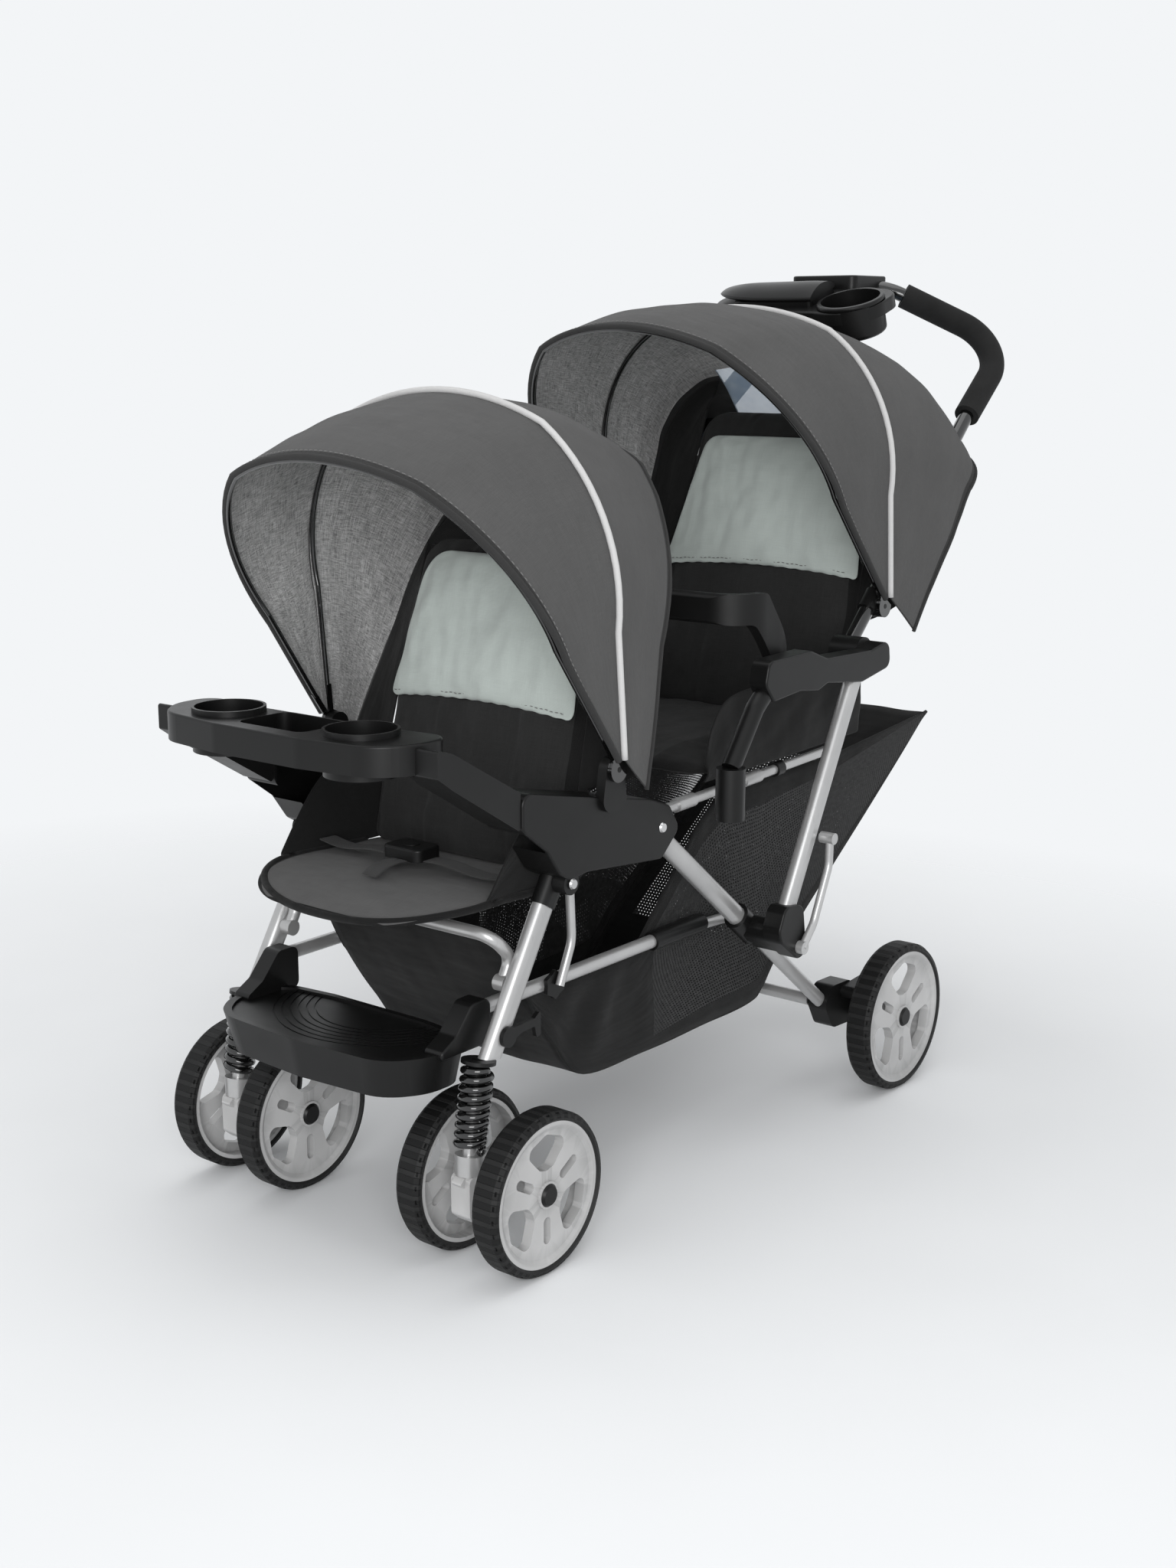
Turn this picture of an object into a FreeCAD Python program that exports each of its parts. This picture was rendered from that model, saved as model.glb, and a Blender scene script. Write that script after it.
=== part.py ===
# Tandem stroller: two seats in line on one folding frame, with swivelling twin front wheels.
# The frame of reference is the stroller's own: it stands on z = 0, travels towards -Y, and
# +X is its left side. The origin lies under the middle of its bounding box. Millimetres.
import FreeCAD, Part
import math
import os
from FreeCAD import Placement, Rotation, Vector

doc = FreeCAD.newDocument("tandem_stroller")
sheet = doc.addObject("Spreadsheet::Sheet", "Sizes")

# Driving sizes, in millimetres. Places are in the stroller's frame: _y back, _z up.
LENGTHS = {
    # wheels
    "front_wheel_radius": 89, "rear_wheel_radius": 96, "wheel_width": 34, "tyre_depth": 10,
    "tyre_shoulder": 6, "rim_band": 4.5, "rim_lip": 2.5, "web_thickness": 12,
    "front_hub_radius": 15, "window_corner": 9, "slot_width": 11, "tread_notch_width": 5,
    "tread_notch_depth": 2.2, "tread_notch_reach": 9, "axle_radius": 5, "hub_clearance": 0.06,
    "cap_radius": 12.5, "cap_height": 3,
    # front casters
    "stem_x": 177, "stem_y": -483, "caster_trail": 48, "caster_half_track": 53,
    "spring_foot_z": 133, "spring_head_z": 232, "spring_lean_y": 17, "spring_mean_radius": 14.3,
    "spring_wire_radius": 4, "collar_radius": 15, "collar_height": 20, "plunger_radius": 7,
    "plunger_engaged": 14, "cup_radius": 9.6, "cup_height": 27, "cup_flange_radius": 18.5,
    "cup_flange_height": 4, "swivel_pin_radius": 6, "swivel_pin_height": 12, "fork_width": 26,
    "fork_stem_radius": 14, "fork_boss_radius": 20, "fork_drop": 24, "sliding_clearance": 0.06,
    # front legs
    "front_leg_x": 178, "front_leg_foot_y": -453, "front_leg_foot_z": 225,
    "front_leg_head_y": -340, "front_leg_head_z": 412, "leg_depth": 26, "leg_thickness": 18,
    "tube_wall": 1.4, "leg_sleeve_length": 20, "leg_sleeve_wall": 2,
    # fold pivot between the front legs' armrests and the rear legs
    "pivot_y": -190, "pivot_z": 429, "pivot_pin_radius": 4, "bolt_head_radius": 6,
    "bolt_head_height": 2.2,
    # armrests beside the front seat
    "armrest_inner_x": 158, "armrest_outer_x": 207, "armrest_wall": 3.5, "armrest_reach": 238,
    "armrest_rise": 82, "armrest_eye_radius": 37, "armrest_corner": 12, "edge_round": 2.5,
    # rear legs
    "rear_leg_x": 184, "rear_leg_foot_y": 206, "rear_leg_foot_z": 106, "rear_leg_depth": 24,
    "rear_leg_thickness": 21, "rear_leg_thin_radius": 9, "rear_axle_y": 263,
    "rear_housing_radius": 16, "rear_cross_y": 184,
    "rear_cross_z": 121, "cross_tube_radius": 8,
    # fold clamp on the rear leg and the hinge of the handle frame
    "clamp_y": 9, "clamp_z": 265, "clamp_length": 46, "clamp_wall": 4.5, "hinge_y": 33,
    "hinge_z": 244, "hinge_pin_radius": 5, "hinge_boss_radius": 13,
    # handle posts, shoes and lock links
    "post_x": 232, "post_foot_y": 12, "post_foot_z": 262, "post_head_y": 171,
    "post_head_z": 562, "post_depth": 24, "post_thickness": 18, "shoe_inner_x": 222,
    "shoe_outer_x": 247, "shoe_corner": 13, "link_width": 10,
    "link_head_y": 89, "link_head_z": 368,
    # armrests and struts beside the rear seat
    "rear_rest_front_y": -12, "rear_rest_z": 575, "rear_rest_rear_y": 206,
    "rear_rest_inner_x": 222, "rear_rest_outer_x": 246, "rear_rest_height": 32,
    "rear_lug_radius": 28, "strut_knee_y": -50, "strut_knee_z": 545,
    "strut_foot_y": -96, "strut_foot_z": 484, "strut_radius": 11, "strut_width": 30,
    "socket_radius": 17, "socket_drop": 60,
    # seat rails and side rails
    "seat_rail_x": 164.5, "seat_rail_front_y": -202, "seat_rail_front_z": 429,
    "seat_rail_rear_y": 226, "seat_rail_rear_z": 444, "seat_rail_radius": 6,
    "sleeve_radius": 8.2, "sleeve_length": 34, "side_rail_x": 149, "side_rail_front_y": -448,
    "side_rail_z": 272, "side_rail_joint_y": -82, "side_rail_rear_y": 34,
    "side_rail_rear_z": 265, "side_rail_radius": 8, "side_rail_thin_radius": 6.5,
    "rail_sleeve_radius": 11, "rail_sleeve_length": 100, "star_clamp_y": -322,
    "star_clamp_radius": 17, "star_clamp_thickness": 5, "clip_radius": 9,
    # front cross tube and support links
    "cross_tube_y": -427, "cross_tube_z": 352, "cross_knee_y": -396, "cross_knee_z": 322,
    "cross_foot_y": -410, "cross_foot_z": 297, "cross_bend": 24, "front_tube_radius": 7,
    "support_head_y": -306, "support_head_z": 403.2, "support_knee_y": -301,
    "support_knee_z": 318,
    # footrest
    "footrest_half_width": 152, "footrest_rear_y": -440, "footrest_depth": 122,
    "footrest_top_z": 241, "footrest_height": 44, "footrest_draft": 9, "footrest_rim": 7,
    "footrest_dish": 3, "footrest_wall": 3.5, "footrest_arm_top_z": 268,
    "footrest_arm_width": 24, "footrest_step": 16, "footrest_corner": 58, "groove_width": 2.2,
    "groove_depth": 1, "groove_pitch": 9,
    # child tray
    "tray_half_width": 178, "tray_front_y": -600, "tray_side_y": -550, "tray_rear_y": -496,
    "tray_top_z": 577, "tray_bottom_z": 546, "tray_wall": 3,
    "tray_corner": 52, "cup_x": 97, "cup_y": -544, "tray_cup_radius": 36, "cup_floor_z": 539,
    "cup_lip": 6, "cup_wall": 3, "recess_half_width": 48, "recess_front_y": -579,
    "recess_rear_y": -511, "recess_floor_z": 551, "recess_corner": 12,
    # front seat, rear seat and their backs
    "front_seat_half_width": 150, "front_seat_front_y": -505,
    "front_seat_rear_y": -262, "front_seat_z": 372, "front_seat_crown": 22,
    "seat_thickness": 26, "front_back_foot_y": -292,
    "front_back_height": 352, "front_back_half_width": 148, "back_thickness": 30,
    "back_crown": 12, "rear_seat_half_width": 168, "rear_seat_front_y": -62,
    "rear_seat_rear_y": 285, "rear_seat_crown": 14, "rear_seat_thickness": 21,
    "rear_back_foot_y": 252, "rear_back_height": 400, "rear_back_half_width": 158,
    "seat_side_x": 165, "seat_side_thickness": 4.5, "seat_side_height": 96,
    # basket
    "basket_half_width": 137.5, "basket_wall": 2.5, "basket_front_y": -398,
    "basket_front_low_z": 198, "basket_front_top_z": 266, "basket_low_front_y": -246,
    "basket_low_front_z": 128, "basket_low_rear_y": 112, "basket_low_rear_z": 128,
    "basket_rise_y": 155, "basket_rise_z": 176, "basket_rear_y": 528, "basket_rear_z": 446,
    "basket_side_top_z": 424, "basket_corner": 14,
    # canopies
    "hood_cloth": 3, "hood_half_width": 222, "front_hood_hinge_y": -283,
    "front_hood_hinge_z": 512, "front_hood_height": 392, "front_visor_height": 405,
    "front_hem_height": 388, "front_hem_foot_y": -243, "front_hem_foot_z": 485,
    "hood_foot": 40, "bow_radius": 2.8, "hinge_disc_radius": 14, "hinge_disc_thickness": 5,
    "hood_pin_radius": 3, "canopy_clamp_wall": 2.5, "rear_hood_hinge_y": 262,
    "rear_hood_hinge_z": 628, "rear_hood_height": 366, "rear_visor_height": 442,
    "rear_hem_height": 314, "rear_hem_foot_y": 350, "rear_hem_foot_z": 592,
    "hood_fold_gap": 0.5, "hood_sag": 7,
    # handle
    "handle_low_x": 200, "handle_low_y": 210, "handle_low_z": 588, "handle_bend_y": 486,
    "handle_bend_z": 853, "handle_high_x": 192, "handle_high_y": 610, "handle_high_z": 944.5,
    "handle_top_x": 60, "handle_top_y": 512, "handle_top_z": 1022, "handle_radius": 9.5,
    "grip_radius": 16.5, "handle_bend_radius": 58, "handle_block_half_width": 50,
    "handle_block_depth": 40, "handle_block_height": 38,
    # parent's console
    "console_half_width": 142, "console_front_y": 342, "console_rear_y": 446,
    "console_drop": 2, "console_height": 42, "console_wall": 3, "console_corner": 36,
    "console_cup_x": 78, "console_cup_y": 387, "console_cup_radius": 39,
    "console_cup_floor": 4, "bin_inner_x": 24, "bin_outer_x": -94, "bin_margin": 14,
    "bin_front_y": 372, "bin_rim": 7, "bin_corner": 16, "bin_floor": 7, "lid_thickness": 6,
    "lid_dome": 9, "lid_gap": 0.4,
    # grab bar across the rear seat
    "grab_pivot_y": 54, "grab_front_y": -44, "grab_bar_z": 652, "grab_depth": 36,
    "grab_wall": 13, "grab_eye_radius": 17, "grab_eye_width": 26, "grab_bend": 52,
    "grab_pin_radius": 4,
    # harness
    "webbing_width": 24, "webbing_thickness": 2, "buckle_width": 56, "buckle_height": 40,
    "buckle_thickness": 14, "buckle_y": -374, "button_radius": 9,
    "button_height": 4, "button_travel": 3,
    # brakes and storage latch
    "brake_width": 35, "brake_length": 62, "brake_thickness": 6, "latch_y": -434,
    "latch_z": 250, "latch_radius": 11, "latch_thickness": 5, "latch_reach": 50,
    "latch_wire": 1.8, "running_gap": 0.3, "cut_overrun": 2,
}

# Angles in degrees, counted from straight up, positive towards the front.
ANGLES = {
    "front_visor_angle": 35, "front_bow_angle": 5, "front_hem_angle": -31,
    "rear_visor_angle": 39, "rear_bow_angle": 4, "rear_hem_angle": -55,
    "front_back_lean": 14.5, "rear_back_lean": 18, "console_tilt": 19,
}

COUNTS = {"spokes": 3, "tread_notches": 36, "spring_turns": 9, "footrest_grooves": 6,
          "star_lobes": 12, "hood_planes": 6}


def fill_sheet():
    """Each value gets a row: its word in column A, its plain number in column B."""
    row = 0
    for table in (LENGTHS, ANGLES, COUNTS):
        for word, value in table.items():
            row += 1
            sheet.set(f"A{row}", word)
            sheet.set(f"B{row}", str(value))
            sheet.setAlias(f"B{row}", word)
    doc.recompute()


class Sizes:
    """Reads a value of the sheet by its word."""

    def __getattr__(self, word):
        return float(getattr(sheet, word))


fill_sheet()
s = Sizes()
LEFT, RIGHT = 1, -1
SIDES = {"left": LEFT, "right": RIGHT}
UP = Vector(0, 0, 1)
nodes = {}


# Plain helpers for shapes


def bind(thing, **cells):
    """Ties properties of a document object to cells or sums of cells."""
    for name, cell in cells.items():
        for word in sorted(set(cell.replace("(", " ").replace(")", " ").split())):
            if word in LENGTHS or word in ANGLES or word in COUNTS:
                cell = " ".join("Sizes." + w if w == word else w for w in cell.split(" "))
        thing.setExpression(name, cell)
    return thing


def keep(label, thing):
    """Registers a document object as the sub-part that its label names."""
    thing.Label = label
    nodes[label] = thing
    return thing


def keep_shape(label, *shapes):
    """A sub-part whose shape is worked out here from the sheet's values."""
    thing = doc.addObject("Part::Feature", label)
    thing.Shape = shapes[0] if len(shapes) == 1 else Part.makeCompound(list(shapes))
    return keep(label, thing)


def mirrored(shape):
    """The same shape on the stroller's other side."""
    return shape.mirror(Vector(0, 0, 0), Vector(1, 0, 0))


def on_side(shape, side):
    return shape if side == LEFT else mirrored(shape)


def pair(shape):
    """The shape on the left and its mirror image on the right, as separate solids."""
    return [shape, mirrored(shape)]


def rod(start, end, radius):
    """A round bar from one point to another."""
    along = end - start
    return Part.makeCylinder(radius, along.Length, start, along)


def hollow_rod(start, end, radius, bore):
    return rod(start, end, radius).cut(rod(start, end, bore))


def cross_rod(y, z, low_x, high_x, radius):
    """A round bar along X."""
    return rod(Vector(low_x, y, z), Vector(high_x, y, z), radius)


def rounded_wire(points, radius):
    """A closed outline whose corners are arcs, no larger than their runs allow."""
    edges, last, first = [], None, None
    count = len(points)
    for place, corner in enumerate(points):
        before, after = points[place - 1], points[(place + 1) % count]
        back, ahead = before - corner, after - corner
        half = back.getAngle(ahead) / 2
        reach = min(radius / math.tan(half), 0.49 * back.Length, 0.49 * ahead.Length)
        bend = reach * math.tan(half)
        start = corner + Vector(back).normalize() * reach
        end = corner + Vector(ahead).normalize() * reach
        middle_way = (Vector(back).normalize() + Vector(ahead).normalize()).normalize()
        middle = corner + middle_way * (bend / math.sin(half) - bend)
        if last is not None and (start - last).Length > s.hub_clearance:
            edges.append(Part.LineSegment(last, start).toShape())
        edges.append(Part.Arc(start, middle, end).toShape())
        first, last = first or start, end
    if (first - last).Length > s.hub_clearance:
        edges.append(Part.LineSegment(last, first).toShape())
    return Part.Wire(Part.__sortEdges__(edges))


def side_plate(outline, low_x, high_x, corner, round_off=0):
    """A plate across X with a rounded outline in the side view, its outer edge eased."""
    wire = rounded_wire([Vector(low_x, y, z) for y, z in outline], corner)
    solid = Part.Face(wire).extrude(Vector(high_x - low_x, 0, 0))
    return eased(solid, Vector(high_x, 0, 0), Vector(1, 0, 0), round_off)


def flat_plate(outline, low_z, high_z, corner, round_off=0):
    """A plate across Z with a rounded outline in plan, its top edge eased."""
    wire = rounded_wire([Vector(x, y, low_z) for x, y in outline], corner)
    solid = Part.Face(wire).extrude(Vector(0, 0, high_z - low_z))
    return eased(solid, Vector(0, 0, high_z), Vector(0, 0, 1), round_off)


def eased(solid, point, normal, radius):
    """The solid with the edges of one flat face rounded."""
    if not radius:
        return solid
    plane = point.dot(normal)
    edges = []
    for face in solid.Faces:
        middle = face.CenterOfMass
        is_flat = isinstance(face.Surface, Part.Plane)
        if is_flat and abs(middle.dot(normal) - plane) < s.hub_clearance:
            edges += face.Edges
    return solid.makeFillet(radius, edges)


def bent_path(points, radius):
    """A path of straight runs joined by tangent arcs."""
    edges, last = [], points[0]
    for before, corner, after in zip(points, points[1:], points[2:]):
        back, ahead = before - corner, after - corner
        half = back.getAngle(ahead) / 2
        reach = min(radius / math.tan(half), 0.45 * back.Length, 0.45 * ahead.Length)
        bend = reach * math.tan(half)
        start = corner + Vector(back).normalize() * reach
        end = corner + Vector(ahead).normalize() * reach
        middle_way = (Vector(back).normalize() + Vector(ahead).normalize()).normalize()
        middle = corner + middle_way * (bend / math.sin(half) - bend)
        edges.append(Part.LineSegment(last, start).toShape())
        edges.append(Part.Arc(start, middle, end).toShape())
        last = end
    edges.append(Part.LineSegment(last, points[-1]).toShape())
    return Part.Wire(edges)


def sweep(path, radius):
    """A round bar along a path."""
    start = path.Edges[0]
    ring = Part.Circle(start.valueAt(start.FirstParameter), start.tangentAt(start.FirstParameter), radius)
    shell = Part.BRepOffsetAPI.MakePipeShell(path)
    shell.add(Part.Wire(ring.toShape()))
    shell.setTransitionMode(0)
    shell.build()
    shell.makeSolid()
    return shell.shape()


def obround(width_x, depth, foot, head):
    """A straight bar of flat-sided oval section whose wide way lies in the side view."""
    along = head - foot
    half_flat, half_width = (depth - width_x) / 2, width_x / 2
    box = Part.makeBox(width_x, 2 * half_flat, along.Length, Vector(-half_width, -half_flat, 0))
    bar = box.fuse(Part.makeCylinder(half_width, along.Length, Vector(0, -half_flat, 0)))
    bar = bar.fuse(Part.makeCylinder(half_width, along.Length, Vector(0, half_flat, 0)))
    bar = bar.removeSplitter()
    lean = math.degrees(math.atan2(-along.y, along.z))
    bar.Placement = Placement(foot, Rotation(Vector(1, 0, 0), lean))
    return bar


def oval_tube(width_x, depth, foot, head, wall):
    outer = obround(width_x, depth, foot, head)
    return outer.cut(obround(width_x - 2 * wall, depth - 2 * wall, foot, head))


def bolt(y, z, low_x, high_x, radius):
    """A bolt along X with a low head at both ends."""
    shank = cross_rod(y, z, low_x, high_x, radius)
    head = Part.makeCone(s.bolt_head_radius, s.bolt_head_radius * 0.8, s.bolt_head_height,
                         Vector(high_x, y, z), Vector(1, 0, 0))
    tail = Part.makeCylinder(s.bolt_head_radius * 0.8, s.bolt_head_height,
                             Vector(low_x - s.bolt_head_height, y, z), Vector(1, 0, 0))
    return shank.fuse([head, tail])


# Points that several sub-parts share

FOLD_PIVOT = (s.pivot_y, s.pivot_z)
LEG_FOOT = Vector(s.front_leg_x, s.front_leg_foot_y, s.front_leg_foot_z)
LEG_HEAD = Vector(s.front_leg_x, s.front_leg_head_y, s.front_leg_head_z)
SPRING_FOOT = Vector(s.stem_x, s.stem_y, s.spring_foot_z)
SPRING_HEAD = Vector(s.stem_x, s.stem_y + s.spring_lean_y, s.spring_head_z)
SPRING_WAY = (SPRING_HEAD - SPRING_FOOT).normalize()
FRONT_AXLE = Vector(s.stem_x, s.stem_y + s.caster_trail, s.front_wheel_radius)
REAR_PIVOT = Vector(s.rear_leg_x, s.pivot_y, s.pivot_z)
REAR_FOOT = Vector(s.rear_leg_x, s.rear_leg_foot_y, s.rear_leg_foot_z)
CLAMP = Vector(s.rear_leg_x, s.clamp_y, s.clamp_z)
REAR_AXLE = Vector(s.rear_leg_x + s.rear_leg_thin_radius + s.clamp_wall + s.brake_width
                   + 5 * s.running_gap + s.wheel_width / 2, s.rear_axle_y, s.rear_wheel_radius)
CONSOLE_TOP = s.handle_top_z - s.console_drop
CONSOLE_LOW = CONSOLE_TOP - s.console_height
FOOTREST_LOW = s.footrest_top_z - s.footrest_height
FOOTREST_FRONT = s.footrest_rear_y - s.footrest_depth
SLEEVE_SHARES = (0.26, 0.58)
GRIP_SHARES = (0.86, 0.97)
POST_FOOT = Vector(s.post_x, s.post_foot_y, s.post_foot_z)
POST_HEAD = Vector(s.post_x, s.post_head_y, s.post_head_z)


# Wheels


def wheel_frame(centre, side):
    """Turns a wheel made about the Z axis so that its outer face looks along +X or -X."""
    turn = Rotation(Vector(0, 1, 0), 90 * side)
    return Placement(centre, turn)


def polar(radius, degrees, height=0):
    way = math.radians(degrees)
    return Vector(radius * math.cos(way), radius * math.sin(way), height)


def sketch_on(body, role, outline, name):
    """A sketch on one of the body's origin planes that holds an outline's lines and arcs."""
    sketch = body.newObject("Sketcher::SketchObject", name)
    plane = [f for f in body.Origin.OriginFeatures if f.Role == role][0]
    sketch.AttachmentSupport = [(plane, "")]
    sketch.MapMode = "FlatFace"
    for edge in outline.Edges:
        sketch.addGeometry(as_geometry(edge), False)
    return sketch


def as_geometry(edge):
    """The line or arc of an edge, as a sketch takes it."""
    if isinstance(edge.Curve, Part.Line):
        return Part.LineSegment(edge.Vertexes[0].Point, edge.Vertexes[-1].Point)
    middle = (edge.FirstParameter + edge.LastParameter) / 2
    ends = edge.valueAt(edge.FirstParameter), edge.valueAt(edge.LastParameter)
    return Part.Arc(ends[0], edge.valueAt(middle), ends[1])


def ring_profile(corners):
    """A closed outline of straight lines in the sketch plane: u along the radius, v along Z."""
    points = [Vector(u, v, 0) for u, v in corners]
    return Part.makePolygon(points + points[:1])


def origin_axis(body, role):
    return [f for f in body.Origin.OriginFeatures if f.Role == role][0]


def rim_body(name, radius):
    """A rim turned about Z, with windows between wide spokes and a slot in each spoke."""
    body = doc.addObject("PartDesign::Body", name)
    outer = radius - s.tyre_depth
    half = s.wheel_width / 2 - s.rim_lip
    bore = s.axle_radius + s.hub_clearance
    inner = outer - s.rim_band
    top, low = half - s.rim_lip, half - s.rim_lip - s.web_thickness
    corners = [(bore, -half), (s.front_hub_radius, -half), (s.front_hub_radius, low),
               (inner, low), (inner, -half), (outer, -half), (outer, half), (inner, half),
               (inner - s.rim_band, top), (s.front_hub_radius, top),
               (s.front_hub_radius, half), (bore, half)]
    turned = body.newObject("PartDesign::Revolution", name + "_turned")
    turned.Profile = sketch_on(body, "XZ_Plane", ring_profile(corners), name + "_section")
    turned.ReferenceAxis = (origin_axis(body, "Z_Axis"), [""])
    turned.Angle = 360
    spoke = 360 / s.spokes
    window_shares = [(0.86, -0.27), (0.90, 0), (0.86, 0.27), (0.42, 0.17), (0.36, 0), (0.42, -0.17)]
    window = rounded_wire([polar(inner * r, spoke * (0.5 + a)) for r, a in window_shares],
                          s.window_corner)
    slot_half = s.slot_width / 2
    slot_in, slot_out = inner * 0.34, inner * 0.74
    slot = rounded_wire([Vector(slot_in, -slot_half, 0), Vector(slot_out, -slot_half, 0),
                         Vector(slot_out, slot_half, 0), Vector(slot_in, slot_half, 0)],
                        slot_half)
    for part, outline in (("window", window), ("slot", slot)):
        cut = body.newObject("PartDesign::Pocket", f"{name}_{part}")
        cut.Profile = sketch_on(body, "XY_Plane", outline, f"{name}_{part}_outline")
        cut.Type = 0
        bind(cut, Length="wheel_width * 2")
        cut.Midplane = True
        doc.recompute()
        ring = body.newObject("PartDesign::PolarPattern", f"{name}_{part}_ring")
        ring.Originals = [cut]
        ring.Axis = (origin_axis(body, "Z_Axis"), [""])
        ring.Angle = 360
        bind(ring, Occurrences="spokes")
        body.Tip = ring
        doc.recompute()
    return body


def tyre_body(name, radius):
    """A chunky tyre turned about Z, with notches along both shoulders of its tread."""
    body = doc.addObject("PartDesign::Body", name)
    inner, half = radius - s.tyre_depth, s.wheel_width / 2
    shoulder, chest = radius - s.tyre_shoulder / 2, half - s.tyre_shoulder
    corners = [(inner, -half + s.rim_lip), (inner + s.rim_lip, -half), (shoulder, -half + s.rim_lip / 2),
               (radius, -chest), (radius, chest), (shoulder, half - s.rim_lip / 2),
               (inner + s.rim_lip, half), (inner, half - s.rim_lip)]
    turned = body.newObject("PartDesign::Revolution", name + "_turned")
    turned.Profile = sketch_on(body, "XZ_Plane", ring_profile(corners), name + "_section")
    turned.ReferenceAxis = (origin_axis(body, "Z_Axis"), [""])
    turned.Angle = 360
    doc.recompute()
    return body


def notched(tyre, radius):
    """The tyre with its tread notches cut, staggered from shoulder to shoulder."""
    tools = []
    step = 360 / s.tread_notches
    low = radius - s.tread_notch_depth
    for place in range(int(s.tread_notches)):
        for face, stagger in ((1, 0), (-1, 0.5)):
            box = Part.makeBox(2 * s.tread_notch_depth, s.tread_notch_width, s.tread_notch_reach,
                               Vector(low, -s.tread_notch_width / 2, -s.tread_notch_reach / 2))
            box.translate(Vector(0, 0, face * s.wheel_width / 2))
            box.rotate(Vector(0, 0, 0), UP, step * (place + stagger))
            tools.append(box)
    return tyre.cut(Part.makeCompound(tools))


def make_wheels():
    """One rim and one tyre per size, placed at each of the six wheels."""
    for axle, radius in (("front", s.front_wheel_radius), ("rear", s.rear_wheel_radius)):
        rim = rim_body(f"{axle}_rim_pattern", radius)
        tyre = tyre_body(f"{axle}_tyre_pattern", radius)
        doc.recompute()
        rubber = notched(tyre.Shape, radius)
        for word, side in SIDES.items():
            if axle == "rear":
                places = {f"rear_{{}}_{word}": (REAR_AXLE.x, side)}
            else:
                places = {f"front_{{}}_{word}_outer": (FRONT_AXLE.x + s.caster_half_track, side),
                          f"front_{{}}_{word}_inner": (FRONT_AXLE.x - s.caster_half_track, -side)}
            centre = REAR_AXLE if axle == "rear" else FRONT_AXLE
            for label, (across, facing) in places.items():
                at = wheel_frame(Vector(side * across, centre.y, centre.z), facing)
                for kind, shape in (("rim", rim.Shape), ("tyre", rubber)):
                    thing = keep_shape(label.format(kind), shape)
                    thing.Placement = at


# Front casters


def axle_between(name, centre, half_length):
    """A steel axle along X, bound to the axle radius, with its length set by the wheels."""
    shaft = doc.addObject("Part::Cylinder", name)
    bind(shaft, Radius="axle_radius")
    shaft.Height = 2 * half_length
    shaft.Placement = Placement(centre - Vector(half_length, 0, 0), Rotation(Vector(0, 1, 0), 90))
    return shaft


def make_casters():
    for word, side in SIDES.items():
        centre = Vector(side * FRONT_AXLE.x, FRONT_AXLE.y, FRONT_AXLE.z)
        half = s.caster_half_track + s.wheel_width / 2 - s.rim_lip
        shaft = axle_between(f"axle_shaft_{word}", centre, half)
        caps = []
        for end in (LEFT, RIGHT):
            cap = doc.addObject("Part::Cone", f"axle_cap_{word}_{end + 1}")
            bind(cap, Radius1="cap_radius", Radius2="cap_radius * 0.8", Height="cap_height")
            face = centre + Vector(end * (half + s.running_gap), 0, 0)
            cap.Placement = Placement(face, Rotation(Vector(0, 1, 0), 90 * end))
            stub = doc.addObject("Part::Cylinder", f"axle_stub_{word}_{end + 1}")
            bind(stub, Radius="axle_radius", Height="running_gap * 2")
            stub.Placement = Placement(face - Vector(end * 2 * s.running_gap, 0, 0),
                                       Rotation(Vector(0, 1, 0), 90 * end))
            caps += [cap, stub]
        whole = doc.addObject("Part::MultiFuse", f"front_axle_{word}")
        whole.Shapes = [shaft] + caps
        keep(f"front_axle_{word}", whole)
        keep_shape(f"swivel_collar_{word}", on_side(collar_shape(), side))
        keep_shape(f"fork_{word}", on_side(fork_shape(), side))


def collar_shape():
    """The collar under the spring, with the plunger that slides in the leg's cup."""
    top = SPRING_FOOT
    low = Vector(top.x, top.y, top.z - s.collar_height)
    body = rod(low, top + UP * (s.collar_radius / 4), s.collar_radius)
    above = rod(top, top + SPRING_WAY * s.collar_height, 2 * s.collar_radius)
    cup_end = SPRING_HEAD - SPRING_WAY * s.cup_height
    plunger = rod(top - SPRING_WAY * s.running_gap, cup_end + SPRING_WAY * s.plunger_engaged,
                  s.plunger_radius)
    body = body.cut(above).fuse(plunger)
    pin_room = s.swivel_pin_height + s.running_gap
    return body.cut(rod(low, low + UP * pin_room, s.swivel_pin_radius + s.sliding_clearance))


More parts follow.
